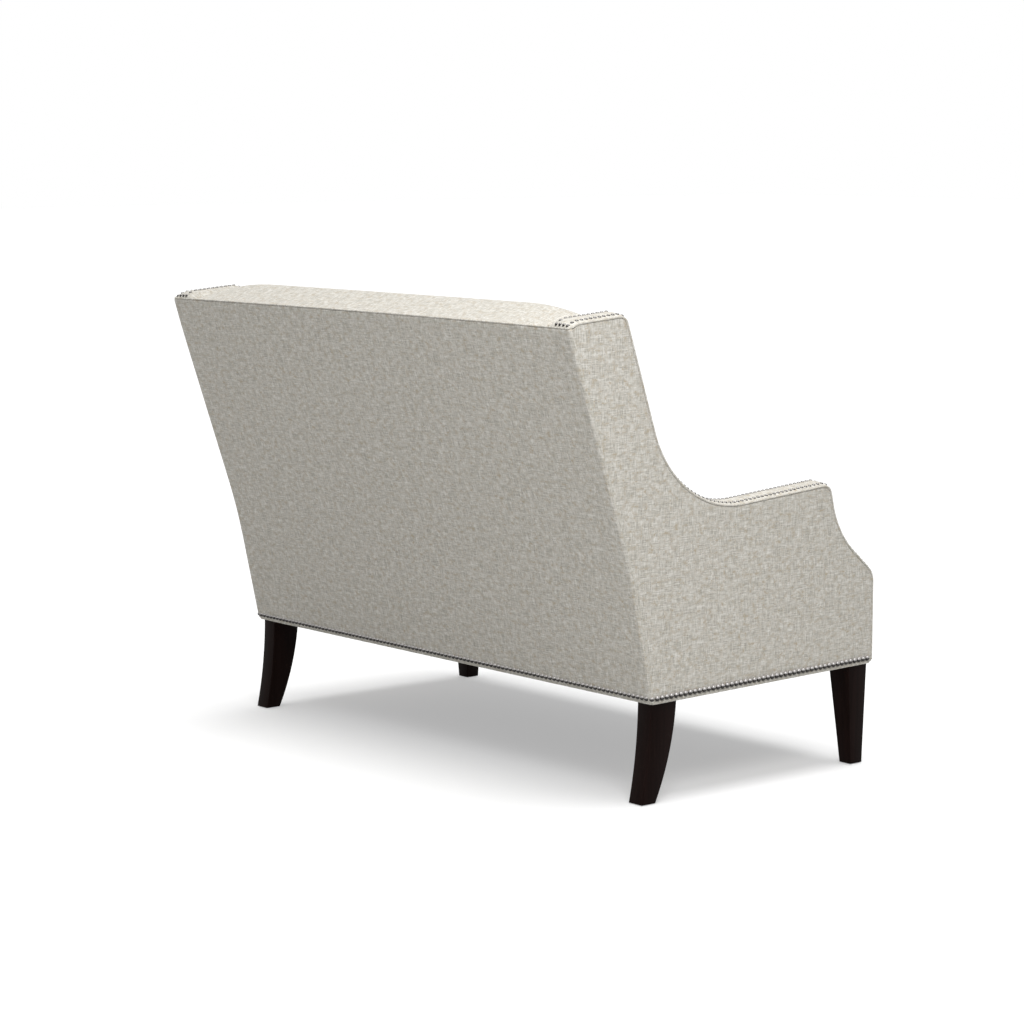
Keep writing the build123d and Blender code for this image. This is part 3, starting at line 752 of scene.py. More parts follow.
# Materials by the names of their slots
looks = {
    upholstery: fabric_material(),
    "leg_wood": wood_material(
        "leg_wood", (0.0045, 0.0015, 0.001), (0.0095, 0.0042, 0.0034), 0.42, (90.0, 90.0, 4.0), 0.04),
    "frame_wood": wood_material(
        "frame_wood", (0.42, 0.28, 0.15), (0.62, 0.45, 0.27), 0.6, (60.0, 60.0, 5.0)),
    "plywood": wood_material("plywood", (0.50, 0.36, 0.20), (0.68, 0.52, 0.33), 0.6, (220.0, 6.0, 6.0)),
    "steel": metal_material("steel", (0.42, 0.42, 0.43), (0.58, 0.58, 0.59), 0.35),
    "zip_metal": metal_material("zip_metal", (0.34, 0.30, 0.24), (0.50, 0.45, 0.36), 0.3),
    "zip_tape": cloth_material("zip_tape", (0.40, 0.38, 0.33), (0.55, 0.52, 0.46), 1600.0),
    "webbing": cloth_material("webbing", (0.30, 0.22, 0.12), (0.52, 0.42, 0.28), 900.0),
    "dust_cloth": cloth_material("dust_cloth", (0.012, 0.012, 0.013), (0.032, 0.032, 0.034), 700.0),
    "deck_cloth": cloth_material("deck_cloth", (0.50, 0.47, 0.40), (0.64, 0.61, 0.54), 1100.0),
    "glide_plastic": plastic_material("glide_plastic", (0.012, 0.011, 0.010), (0.024, 0.022, 0.020), 0.45),
}
# Nail materials with painted light: lighter on their upper side and painted shade on their lower side
border_nail_metal = nail_material("border_nail_metal", (0.35, 0.62, 1.0), painted_top_tone=0.24, metallic=1.0)
base_nail_metal = nail_material("base_nail_metal", (0.02, 0.15, 0.34), painted_top_tone=0.36, metallic=0.5)


def dress(piece, slot, stands_for=(), on=body, look=None):
    """Give a piece its material, slot and body, and hide the solids that it stands for."""
    piece.data.materials.clear()
    piece.data.materials.append(look or looks[slot])
    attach(piece, on)
    if stands_for:
        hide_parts(*stands_for)
    return piece


# Outside covers

def fill_corners(points):
    """Points moved out where padding fills out the rear corners, which grows upward from the knee."""
    points = np.array(points, float)
    rear = rear_line(0.0, level(base_rear_height), level(rear_top_height))
    behind = np.interp(points[:, 2], rear[:, 1], rear[:, 0]) - points[:, 1]
    beside = half_width - np.abs(points[:, 0])
    rise = np.clip((points[:, 2] - knee_height) / corner_fill_rise, 0, 1)
    under_top = np.clip((rear_top_height - points[:, 2]) / corner_fill_fade, 0, 1)
    push = corner_fill * rise * (corner_fill_top_share + (1 - corner_fill_top_share) * under_top)
    push *= bell(np.hypot(behind, beside), corner_fill_reach) * math.sqrt(0.5)
    points[:, 0] += np.sign(points[:, 0]) * push
    points[:, 1] += push
    return points


def foot_dip(up):
    """How far a cover is drawn in, at heights above its foot, by the base welt and the row of nails."""
    from_nails = up + base_welt_radius - base_nail_height
    return foot_roll * fade(up, foot_roll_height) + nail_dent * bell(from_nails, nail_dent_reach)


def outside_arm(side, name):
    """The cover of an outside arm, rolled in at its welts and the base nails, and its flat triangles."""
    edge_gap = arm_welt_inner + arm_seam_slot + seam_turn
    lines = side_lines(edge_gap, rear_corner_radius, base_welt_radius)
    edge = evenly(border_line(edge_gap, rear_corner_radius, base_welt_radius), spacing=0.005)
    seam = evenly(rear_line(rear_corner_radius, lines[0], lines[3]), spacing=0.010)
    foot = evenly([edge[-1], seam[0]], spacing=0.008)
    flat, faces = filled(np.vstack([edge[:-1], foot[:-1], seam[:-1]]), spacing=0.011)
    points = np.column_stack([half_width - foot_dip(distance_to(flat, foot)), flat])
    # The edge turns in beside the welt
    count = len(edge)
    normals = outward(edge)
    rings = [points]
    for turn, depth in seam_section:
        ring = edge + normals * seam_turn * turn
        rings.append(np.column_stack([points[:count, 0] - seam_depth * depth, ring]))
    numbers = np.concatenate([np.arange(count), len(points) + np.arange(len(seam_section) * count)])
    turned_in = grid_faces(len(rings), count, flip=True)
    all_faces = faces + [tuple(numbers[i] for i in f) for f in turned_in]
    points = np.vstack(rings)
    if side < 0:
        all_faces = [f[::-1] for f in all_faces]
    piece = new_piece(name, fill_corners(sided(points, side)), all_faces, points[:, 1:])
    return thicken(piece), flat, faces


for side, word in both_sides:
    cover, flat, faces = outside_arm(side, f"{word}_outside_arm_fabric")
    dress(cover, upholstery, [f"{word}_outside_arm_cover"])


def top_bow(x):
    """How far the top edge of the outside back bows up, as a rise along the back."""
    rise = back_top_bow * np.clip(1 - (np.asarray(x) / half_width) ** 2, 0, 1)
    return rise[..., None] * direction(90 - upper_rake)


def outside_back():
    """The cover of the outside back, wrapped round both rear corners, and its flat size."""
    straight = half_width - rear_corner_radius
    bends = np.radians(np.linspace(90, 0, 10))
    corner = np.column_stack([straight + rear_corner_radius * np.sin(bends),
                              rear_corner_radius * (1 - np.cos(bends))])
    middle = np.linspace(-straight, straight, 113)[1:-1]
    plan = np.vstack([corner * [-1, 1], np.column_stack([middle, np.zeros(len(middle))]), corner[::-1]])
    across = lengths_along(plan)
    lines = side_lines(back_welt_gap + back_seam_slot, 0.0, base_welt_radius)
    # Rows lie closer together at both ends, and closest where the top edge turns in
    share = np.linspace(0, 1, 81)
    share = share - np.sin(2 * math.pi * share) * end_crowding
    columns = []
    for (x, depth), run in zip(plan, across):
        line = rear_line(depth, lines[0], lines[3])
        line[-1] += top_bow(x)
        along = lengths_along(line)
        places = (along[-1] - seam_turn) * np.append(share, np.ones(len(seam_section)))
        places[len(share):] += seam_turn * seam_section[:, 0]
        line = at(places, along, line)
        dip = foot_dip(places)
        dip[len(share):] += seam_depth * seam_section[:, 1]
        dip -= back_bulge * np.sin(math.pi * places / along[-1]) * max(0.0, 1 - (x / straight) ** 2)
        sideways = np.clip((abs(x) - straight) / rear_corner_radius, 0, 1)
        inward = -outward(line) * (dip * math.sqrt(1 - sideways ** 2))[:, None]
        columns.append(column(x - dip * math.copysign(sideways, x), line + inward, run, places))
    grid = np.stack(columns, axis=1)
    points = fill_corners(grid[..., :3].reshape(-1, 3)).reshape(*grid.shape[:2], 3)
    return grid_piece("outside_back_fabric", points, grid[..., 3:]), (across[-1], along[-1])


back_cover, back_size = outside_back()
dress(thicken(back_cover), upholstery, ["outside_back_cover"])


# Borders over the wings and arms

def border_rise(x, fall=border_inner_fall):
    """Height of the padded border above the arm's outline: a low crown that falls to both edges."""
    away = (x - (half_width - border_middle)) / border_middle
    inward = np.maximum(0.0, nail_rows[1] - x) / (nail_rows[1] - arm_inside)
    return border_crown - border_roll * away ** 2 - fall * inward ** 2


def border_end(s):
    """Share of its height that the border has reached at a distance from the rear of the wing."""
    return np.sin(math.pi / 2 * np.clip((s - back_welt_gap) / border_end_roll, 0, 1))


def border_section(fall):
    """Section of the border from its welt to the inside of the arm, as X and height."""
    x = np.linspace(border_outer - border_edge, arm_inside + border_edge, 34)
    low = border_rise(arm_inside, fall)
    return np.vstack([
        [(border_outer, -0.007), (border_outer, -0.003), (border_outer - 0.0007, -0.0012)],
        np.column_stack([x, border_rise(x, fall)]),
        [(arm_inside + 0.0008, low - 0.0015), (arm_inside, low - 0.005), (arm_inside + 0.001, -border_lip)],
    ])


def arm_border(side, name):
    """The padded border strip, folded down at the rear of the wing."""
    section, flush = border_section(border_inner_fall), border_section(0.0)
    line = evenly(border_line(0.0, bottom=base_welt_radius), spacing=0.003)
    along = lengths_along(line)
    folded = [(back_welt_gap, 0.008), (back_welt_gap, 0.003), (back_welt_gap + 0.001, 0.0009)]
    run, drop = np.array(folded + [(s, 0.0) for s in along[along > back_welt_gap + border_edge]]).T[..., None]
    place = at(run[:, 0], along, line)
    normal = unit(at(run[:, 0], along, outward(line)))
    # In plan the rear end is rounded as the corner of the settee is
    plan_radius = rear_corner_radius - arm_welt_inner
    plan_start = border_outer - plan_radius
    narrowed = np.sqrt(1 - np.clip(1 - (run - back_welt_gap) / plan_radius, 0, 1) ** 2)
    x = np.minimum(section[:, 0], plan_start) + np.maximum(section[:, 0] - plan_start, 0) * narrowed
    # Beside the front rail the border lies flush with its cover
    above_seat = np.clip((place[:, 1:] - deck_top - border_flush_height) / border_flush_reach, 0, 1)
    height = flush[:, 1] + (section[:, 1] - flush[:, 1]) * above_seat
    near_row = np.maximum(*(bell(x - row, pucker_reach) for row in nail_rows))
    pucker = pucker_depth * np.cos(2 * math.pi * run / nail_pitch) * near_row
    lift = np.maximum(height, 0) * border_end(run) + np.minimum(height, 0) - drop - pucker
    points = np.concatenate([x[..., None], place[:, None] + normal[:, None] * lift[..., None]], axis=2)
    points = fill_corners(sided(points, side).reshape(-1, 3)).reshape(points.shape)
    weave = np.stack(np.broadcast_arrays(lengths_along(section), run), axis=2)
    return grid_piece(name, points, weave, flip=side > 0)


def nails_piece(name, places, normals, scale=1.0):
    """Nail heads at places, each facing along its normal, as one mesh."""
    profile = [(1.0, -0.25), (1.0, 0.08), (0.95, 0.32), (0.83, 0.57), (0.62, 0.80), (0.33, 0.95)]
    head, faces = turned(profile, nail_radius * scale, nail_height * scale, segments=14)
    heads = []
    for place, normal in zip(places, normals):
        tip = Vector(random.normal(0, nail_wobble, 3))
        turn = (Vector(normal).normalized() + tip).to_track_quat("Z", "Y").to_matrix()
        heads.append((head @ np.array(turn).T + place, faces))
    return joined(name, heads)


def border_nails(side):
    """Places and normals of the two rows of nails on a border, and of the row that closes them."""
    line = evenly(border_line(0.0, bottom=base_clear), spacing=0.001)
    along = lengths_along(line)
    start = nail_closing_gap
    stop = along[-1] - (base_nail_height - base_clear) - nail_pitch
    count = round((stop - start) / nail_pitch)
    stations = [(s, row) for s in np.linspace(start, stop, count + 1) for row in nail_rows]
    stations += [(start, x) for x in np.linspace(*nail_rows, closing_nails)[1:-1]]
    s, x = np.array(stations).T
    normal = unit(at(s, along, outward(line)))
    ahead = np.column_stack([-normal[:, 1], normal[:, 0]])
    step = 0.001
    slope = border_end(s) * (border_rise(x + step) - border_rise(x - step)) / (2 * step)
    climb = border_rise(x) * (border_end(s + step) - border_end(s - step)) / (2 * step)
    lift = border_rise(x) * border_end(s)
    places = np.column_stack([side * x, at(s, along, line) + normal * lift[:, None]])
    return fill_corners(places), np.column_stack([-side * slope, normal - climb[:, None] * ahead])


for side, word in both_sides:
    border = thicken(arm_border(side, f"{word}_border_fabric"))
    dress(border, upholstery, [f"{word}_arm_border", f"{word}_border_wadding"])
    nails = nails_piece(f"{word}_border_nails", *border_nails(side))
    dress(nails, "steel", look=border_nail_metal)


# Welts

def arm_welt(side, name):
    """The welt between an outside arm and its border."""
    sunk = arm_welt_radius - welt_proud
    line = evenly(border_line(sunk, sunk, base_clear), spacing=0.004)
    line = line[lengths_along(line) > rear_corner_radius - sunk]
    path = np.column_stack([np.full(len(line), half_width - sunk), line])
    return tube_piece(name, fill_corners(sided(path, side)), arm_welt_radius)


def back_top_welt():
    """The welt along the top of the outside back, turned forward at both corners."""
    sunk = back_welt_radius - welt_proud
    lines = side_lines(sunk, sunk)
    turn = rear_corner_radius - sunk
    x = half_width - sunk
    # In plan the corner is nearly a quarter circle, drawn up along the slope of the wing
    plan = rounded([(-x, turn), (-x, 0.0), (x, 0.0), (x, turn)], [turn * 0.98] * 2, turn_step=8.0)
    plan = evenly(plan, spacing=0.005)
    line = meet(lines[2], lines[3]) + plan[:, 1:] * direction(180 - wing_rear_fall) + top_bow(plan[:, 0])
    path = np.column_stack([plan[:, 0], line])
    return tube_piece("back_top_welt_fabric", fill_corners(path), back_welt_radius)


def base_loop(gap, height, front_radius):
    """A loop round the base from the middle of its front, set in by a gap and raised by a height."""
    lines = side_lines(gap, gap, height)
    front, rear = meet(lines[9], lines[0]), meet(lines[0], lines[1])
    depth = np.linalg.norm(rear - front)
    x = half_width - gap
    corner = base_corner_radius - gap
    corners = [(0.0, 0.0), (x, 0.0), (x, depth), (-x, depth), (-x, 0.0), (0.0, 0.0)]
    plan = rounded(corners, [front_radius, corner, corner, front_radius], turn_step=6.0)
    return np.column_stack([plan[:, 0], front + plan[:, 1:] * (rear - front) / depth])


def base_welt():
    """The rolled welt round the lower edge of the base."""
    loop = base_loop(base_welt_radius - welt_proud, base_welt_radius, base_corner_radius)
    return tube_piece("base_welt_fabric", evenly(loop, spacing=0.005)[:-1], base_welt_radius, closed=True)


def base_nails():
    """Places and normals of the row of nails round the base, with a nail at each rear corner."""
    loop = base_loop(-hair_gap, base_nail_height, base_nail_front_radius)
    along = lengths_along(loop)
    corner = along[np.argmax(loop[:, 0] + loop[:, 1])]
    end = along[-1] - corner
    half = np.linspace(0.0, corner, round(corner / base_nail_pitch) + 1)
    back = np.linspace(corner, end, round((end - corner) / base_nail_pitch) + 1)
    stations = np.concatenate([half, back[1:-1], along[-1] - half[:0:-1]])
    places = at(stations, along, loop)
    step = 0.002
    run = at(stations + step, along, loop) - at(stations - step, along, loop)
    facing = unit(np.column_stack([run[:, 1], -run[:, 0], np.zeros(len(run))]))
    facing[:, 2] = -math.tan(math.radians(lower_rake)) * np.maximum(0.0, facing[:, 1])
    beside_welt = np.abs(np.abs(places[:, 0]) - half_width) < arm_welt_room
    kept = ~(beside_welt & (places[:, 1] < front_y + arm_welt_room))
    return places[kept], facing[kept]


for side, word in both_sides:
    dress(arm_welt(side, f"{word}_arm_welt_fabric"), upholstery, [f"{word}_arm_welt"])
dress(back_top_welt(), upholstery, ["back_top_welt"])
dress(base_welt(), upholstery, ["base_welt"])
dress(nails_piece("base_nails", *base_nails(), base_nail_scale), "steel", look=base_nail_metal)


# Inside arms and inside back

def inside_arm(side, name):
    """The padded cover of an inside arm, swelling a little above the cushion."""
    low = deck_top - inside_arm_tuck
    lines = side_lines(inside_arm_gap, back_foam_gap)
    edge = evenly(border_line(inside_arm_gap, back_foam_gap), spacing=0.006)
    edge = edge[edge[:, 1] > low]
    edge = np.vstack([edge, [[edge[-1][0], low]]])
    seam = evenly(rear_line(back_foam_gap, level(low), lines[3]), spacing=0.012)
    foot = evenly([edge[-1], seam[0]], spacing=0.012)
    flat, faces = filled(np.vstack([edge[:-1], foot[:-1], seam[:-1]]), spacing=0.011)
    to_edge = distance_to(flat, edge)
    above = np.clip((flat[:, 1] - arm_swell_height) / arm_swell_rise, 0, 1)
    swell = arm_swell * above * above * (3 - 2 * above) * (1 - fade(to_edge, arm_swell_edge))
    dip = arm_edge_dip * fade(to_edge, arm_edge_reach)
    points = np.column_stack([arm_inside - swell + dip + hair_gap, flat])
    faces = [f[::-1] if side > 0 else f for f in faces]
    return new_piece(name, sided(points, side), faces, flat)


def inside_back():
    """The tight inside back: a crowned front, a soft crest and ends that round off beside the wings."""
    middle = seat_half - crest_end_length
    end = middle + crest_end_length * np.sin(np.radians(np.linspace(90, 0, 13)))
    xs = np.concatenate([-end, np.linspace(-middle, middle, 85)[1:-1], end[::-1]])
    foot = level(deck_top + back_foot_gap)
    back_edge = meet(side_lines(rear=back_welt_gap)[2], level(rear_top_height))
    columns = []
    for x in xs:
        into_end = (max(0.0, abs(x) - middle) / crest_end_length) ** 2
        gap = back_depth - crest_end_pull * into_end
        tucked = max(0.0, abs(x) - (seat_half - crest_tuck_length)) / crest_tuck_length
        tucked = 1 - math.sqrt(max(0.0, 1 - tucked ** 2))
        crest = level(rear_top_height + crest_rise - crest_end_drop * into_end - crest_tuck_drop * tucked)
        lines = side_lines(rear=gap)
        corners = [meet(lines[1], foot), meet(lines[1], lines[2]), meet(lines[2], crest)]
        corners.append(back_edge + top_bow(x))
        line = rounded(corners, [knee_radius + gap, crest_radius], turn_step=4.0)
        along = lengths_along(line)
        places = np.linspace(0, along[-1], 141)
        line = at(places, along, line)
        up = np.clip((line[:, 1] - back_swell_low) / back_swell_span, 0, 1)
        swell = back_swell * (1 - (x / seat_half) ** 4) * np.sin(math.pi * up) ** back_swell_power
        on_front = np.clip((along[-1] - crest_run - places) / crest_blend, 0, 1)
        lift = swell - back_tuck * fade(seat_half - abs(x), back_tuck_reach) * on_front
        columns.append(column(x, line + outward(line) * lift[:, None], x, places))
    return sheet_of("inside_back_fabric", columns)


for side, word in both_sides:
    pad = thicken(inside_arm(side, f"{word}_inside_arm_fabric"))
    dress(pad, upholstery, [f"{word}_inside_arm_cover", f"{word}_arm_foam"])
back_pad = thicken(inside_back())
dress(back_pad, upholstery, ["inside_back_cover", "back_foam"])


# Front of the seat, deck and underside

def front_cover():
    """The cover of the front rail, rolled over its top edge into the lip of the deck, and its height."""
    low = base_front_height + base_welt_radius
    line = rounded([(front_y, low), (front_y, deck_top), (front_y + lip_depth, deck_top)], [lip_roll],
                   turn_step=10.0)
    line = evenly(line, spacing=0.006)
    along = lengths_along(line)
    columns = []
    for x in np.linspace(-seat_half, seat_half, 123):
        dip = foot_dip(along) + end_tuck * fade(seat_half - abs(x), end_tuck_reach)
        columns.append(column(x, line + outward(line) * dip[:, None], x, along))
    return sheet_of("front_rail_fabric", columns), along[-1]


def deck():
    """The deck under the cushion: a plain cloth over the padded springs, seamed to the lip."""
    front = front_y + lip_depth
    rear = meet(side_lines(rear=back_foam_gap)[1], level(deck_top))[0]
    x, y = np.meshgrid(np.linspace(-seat_half, seat_half, 103), np.linspace(front, rear, 47))
    hollow = np.sin(math.pi * (y - front) / (rear - front))
    ripple = deck_ripple * np.cos(2 * math.pi * x / spring_spacing) * hollow
    z = deck_top - deck_sink - deck_seam * bell(y - front, deck_seam_reach) - deck_sag * hollow + ripple
    points = np.stack([x, y, z], axis=2)
    return grid_piece("deck_fabric", points, points[..., :2])


dust_lines = side_lines(dust_edge, dust_edge, base_clear - cloth)
dust_front, dust_rear = meet(dust_lines[9], dust_lines[0]), meet(dust_lines[0], dust_lines[1])
dust_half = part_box("dust_cover")[1].x
dust_depth = float(np.linalg.norm(dust_rear - dust_front))


def dust_cover():
    """The black cloth tacked under the base, sagging a little between its rails."""
    x, share = np.meshgrid(np.linspace(-dust_half, dust_half, 101), np.linspace(0, 1, 49))
    from_edge = np.minimum(share, 1 - share) * 2
    sag = dust_sag * (1 - (x / dust_half) ** 4) * (1 - (1 - from_edge) ** 4)
    sag *= dust_even_share + (1 - dust_even_share) * np.abs(np.sin(math.pi * x / dust_half))
    place = dust_front + (dust_rear - dust_front) * share[..., None]
    points = np.stack([x, place[..., 0], place[..., 1] - sag], axis=2)
    return grid_piece("dust_cover_cloth", points, points[..., :2], flip=True)


def staples():
    """Staples along the edge of the dust cover."""
    ahead = (dust_rear - dust_front) / dust_depth
    down = np.array([ahead[1], -ahead[0]])
    long, wire = staple_half_length, staple_half_wire
    places = []
    for x in np.arange(-dust_half + staple_end_gap, dust_half - staple_last_gap, staple_pitch):
        places += [(x, s, (long, wire, wire)) for s in (staple_inset, dust_depth - staple_inset)]
    for s in np.arange(staple_first_gap, dust_depth - staple_end_gap, staple_pitch):
        places += [(x, s, (wire, long, wire)) for x in (dust_half - staple_inset, staple_inset - dust_half)]
    parts = []
    for x, s, half in places:
        box, faces = box_mesh((x, s, hair_gap + wire), half)
        line = dust_front + box[:, 1:2] * ahead + box[:, 2:] * down
        parts.append((np.column_stack([box[:, 0], line]), faces))
    return joined("dust_cover_staples", parts)


def webbing():
    """Woven bands behind the foam of the back."""
    low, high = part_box("back_webbing")
    gap = (back_foam_gap + back_board_gap) / 2
    line = evenly(rear_line(gap, level(low.z), level(high.z)), spacing=0.010)
    end = high.x - webbing_width / 2
    bands = []
    for middle in np.linspace(-end, end, webbing_count):
        xs = np.linspace(middle - webbing_width / 2, middle + webbing_width / 2, 6)
        bands.append(([(x, y, z) for y, z in line for x in xs], grid_faces(len(line), len(xs))))
    return joined("back_webbing_bands", bands)


front_piece, front_height = front_cover()
dress(thicken(front_piece), upholstery, ["front_rail_cover"])
deck_piece = dress(thicken(deck()), "deck_cloth", ["deck_cloth", "seat_deck_pad"])
dust_piece = dress(thicken(dust_cover(), dust_thickness), "dust_cloth", ["dust_cover"])
dress(staples(), "steel")
dress(thicken(webbing(), webbing_thickness), "webbing", ["back_webbing"])


# Seat cushion

def cushion_plan(grow=0.0, spacing=0.014):
    """The closed outline of the cushion from above, its front edge drawn in."""
    half = cushion_high.x + grow
    front, rear = cushion_low.y - grow, cushion_high.y + grow
    corners = [(0.0, front), (half, front), (half, rear), (-half, rear), (-half, front), (0.0, front)]
    plan = evenly(rounded(corners, [cushion_corner + grow] * 4, turn_step=6.0), spacing)[:-1]
    on_front = np.clip((front + cushion_draw_reach - plan[:, 1]) / cushion_draw_reach, 0, 1)
    plan[:, 1] += cushion_draw_in * (1 - (plan[:, 0] / half) ** 2) * on_front
    return plan


def cushion_shell():
    """A closed boxed cushion before it is filled, and the points that its seams and zip hold."""
    plan = cushion_plan()
    count = len(plan)
    flat, triangles = filled(plan, spacing=0.016)
    middle = flat[count:]
    inner = len(middle)
    heights = np.linspace(cushion_low.z, cushion_top, cushion_rows)
    to_edge = distance_to(middle, np.vstack([plan, plan[:1]]))
    crown = cushion_crown * (1 - np.clip(1 - to_edge / cushion_crown_reach, 0, 1) ** cushion_crown_power)
    layers = [(plan, np.full(count, z)) for z in heights]
    layers += [(middle, cushion_top + crown), (middle, np.full(inner, cushion_low.z))]
    points = np.vstack([np.column_stack(layer) for layer in layers])
    top_ring, top_inner = (cushion_rows - 1) * count, cushion_rows * count
    low_inner = top_inner + inner
    faces = grid_faces(cushion_rows, count, closed=True)
    faces += [tuple(top_ring + i if i < count else top_inner + i - count for i in f) for f in triangles]
    faces += [tuple(i if i < count else low_inner + i - count for i in f[::-1]) for f in triangles]
    zip_low, zip_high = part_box("zip_tape")
    x, y, z = points.T
    held = (np.abs(x) < zip_high.x + zip_side_room) & (y > cushion_high.y - zip_depth_room)
    held &= (z > zip_low.z - zip_height_room) & (z < zip_high.z + zip_height_room)
    for start, size in ((0, count), (top_ring, count), (low_inner, inner)):
        held[start:start + size] = True
    return new_piece("seat_cushion_fabric", points, faces), [int(i) for i in np.flatnonzero(held)]


def inflate(piece, held, pressure, frames, most):
    """Fill a closed cloth with pressure while some points are held, then keep its shape."""
    start = np.array([tuple(v.co) for v in piece.data.vertices])
    piece.vertex_groups.new(name="held").add(held, 1.0, "REPLACE")
    modifier = piece.modifiers.new("cloth", "CLOTH")
    settings = {
        "quality": 6, "mass": 0.3, "tension_stiffness": 12, "compression_stiffness": 12,
        "shear_stiffness": 6, "bending_stiffness": 0.8, "use_pressure": True,
        "uniform_pressure_force": pressure, "vertex_group_mass": "held",
    }
    for name, value in settings.items():
        setattr(modifier.settings, name, value)
    modifier.settings.effector_weights.gravity = 0
    modifier.collision_settings.use_collision = False
    modifier.point_cache.frame_start = 1
    modifier.point_cache.frame_end = frames
    scene = bpy.context.scene
    for step in range(1, frames + 1):
        scene.frame_set(step)
    made = piece.evaluated_get(bpy.context.evaluated_depsgraph_get()).to_mesh()
    moved = np.array([tuple(v.co) for v in made.vertices]) - start
    piece.modifiers.clear()
    piece.vertex_groups.clear()
    scene.frame_set(1)
    reach = np.linalg.norm(moved, axis=1)
    share = np.where(reach > most, most / np.maximum(reach, 1e-9), 1.0)
    piece.data.vertices.foreach_set("co", (start + moved * share[:, None]).astype(np.float32).ravel())
    piece.data.update()


def smooth_once(piece):
    """One step of subdivision, kept in the mesh."""
    finer = piece.modifiers.new("finer", "SUBSURF")
    finer.levels = 1
    finer.render_levels = 1
    apply_modifiers(piece)
    piece.data.shade_smooth()


def cushion_welt(name, height, grow):
    """A welt round the edge of the cushion."""
    plan = cushion_plan(grow + touch_gap, spacing=0.006)
    path = np.column_stack([plan, np.full(len(plan), height)])
    return tube_piece(name, path, cushion_welt_radius, closed=True)


cushion, held_points = cushion_shell()
inflate(cushion, held_points, pressure=4.0, frames=20, most=0.016)
smooth_once(cushion)
weave_by_facing(cushion.data)
dress(cushion, upholstery, ["seat_cushion_cover", "seat_cushion_core"], cushion_body)
lean = cushion_welt_radius * math.sqrt(0.5)
lower_welt = cushion_welt("cushion_lower_welt", cushion_low.z + cushion_welt_radius, cushion_welt_radius)
dress(lower_welt, upholstery, on=cushion_body)
upper_welt = cushion_welt("cushion_upper_welt", cushion_top + lean, lean)
dress(upper_welt, upholstery, ["seat_cushion_welts"], cushion_body)


# Zip

tape_low, tape_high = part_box("zip_tape")
zip_middle = (tape_low.z + tape_high.z) / 2


def zip_tape():
    """The woven tapes of the zip, which meet under its teeth."""
    near, far = tape_low.y + hair_gap, tape_high.y
    line = np.array([
        (near, tape_low.z), (far - tape_slope, zip_middle - tape_fold), (far, zip_middle - tape_meeting),
        (far, zip_middle + tape_meeting), (far - tape_slope, zip_middle + tape_fold), (near, tape_high.z),
    ])
    xs = np.linspace(tape_low.x, tape_high.x, 91)
    return sheet_of("zip_tape_cloth", [column(x, line, x, line[:, 1]) for x in xs], flip=True)


def zip_teeth():
    """The row of teeth along the zip."""
    parts = []
    for i, x in enumerate(np.arange(tape_low.x + tooth_end_gap, tape_high.x - tooth_end_gap, tooth_pitch)):
        parts.append(box_mesh((x, tape_high.y, zip_middle + tooth_shift * (-1) ** i), tooth_half_size))
    return joined("zip_teeth", parts)


def zip_slider():
    """The slider: a plate over the teeth, a loop on it and a pull that hangs from the loop."""
    low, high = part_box("zip_slider")
    x = (low.x + high.x) / 2
    loop_width, loop_height = slider_loop_half
    blocks = [
        ((low.x, low.y, zip_middle - slider_half_height),
         (high.x, low.y + slider_thickness, zip_middle + slider_half_height)),
        ((x - loop_width, low.y, zip_middle - loop_height),
         (x + loop_width, high.y - pull_rise, zip_middle + loop_height)),
        ((x - pull_half_width, high.y - pull_thickness, low.z), (x + pull_half_width, high.y, zip_middle)),
    ]
    blocks = np.array(blocks)
    halves = (blocks[:, 1] - blocks[:, 0]) / 2
    slider = joined("zip_slider_metal", map(box_mesh, blocks[:, 0] + halves, halves))
    bevel = slider.modifiers.new("ease", "BEVEL")
    bevel.width = slider_ease
    bevel.segments = 2
    apply_modifiers(slider)
    return slider


dress(thicken(zip_tape(), tape_thickness), "zip_tape", ["zip_tape"], cushion_body)
dress(zip_teeth(), "zip_metal", on=cushion_body)
dress(zip_slider(), "zip_metal", ["zip_slider"], "zip_slider")


# Legs and glides

def arc_through(first, middle, last, count):
    """Points of the arc through three points of a plane."""
    a, b, c = (np.array(p, float) for p in (first, middle, last))
    d = 2 * (a[0] * (b[1] - c[1]) + b[0] * (c[1] - a[1]) + c[0] * (a[1] - b[1]))
    squares = [p @ p for p in (a, b, c)]
    x = (squares[0] * (b[1] - c[1]) + squares[1] * (c[1] - a[1]) + squares[2] * (a[1] - b[1])) / d
    y = (squares[0] * (c[0] - b[0]) + squares[1] * (a[0] - c[0]) + squares[2] * (b[0] - a[0])) / d
    centre = np.array([x, y])
    angles = np.unwrap([math.atan2(*(p - centre)[::-1]) for p in (a, b, c)])
    turns = np.linspace(angles[0], angles[2], count)
    return centre + np.linalg.norm(a - centre) * np.column_stack([np.cos(turns), np.sin(turns)])


def base_height(y):
    """Height of the underside of the base, where a leg meets it."""
    return meet(side_lines(bottom=base_clear)[0], (np.array([y, 0.0]), direction(90)))[1]


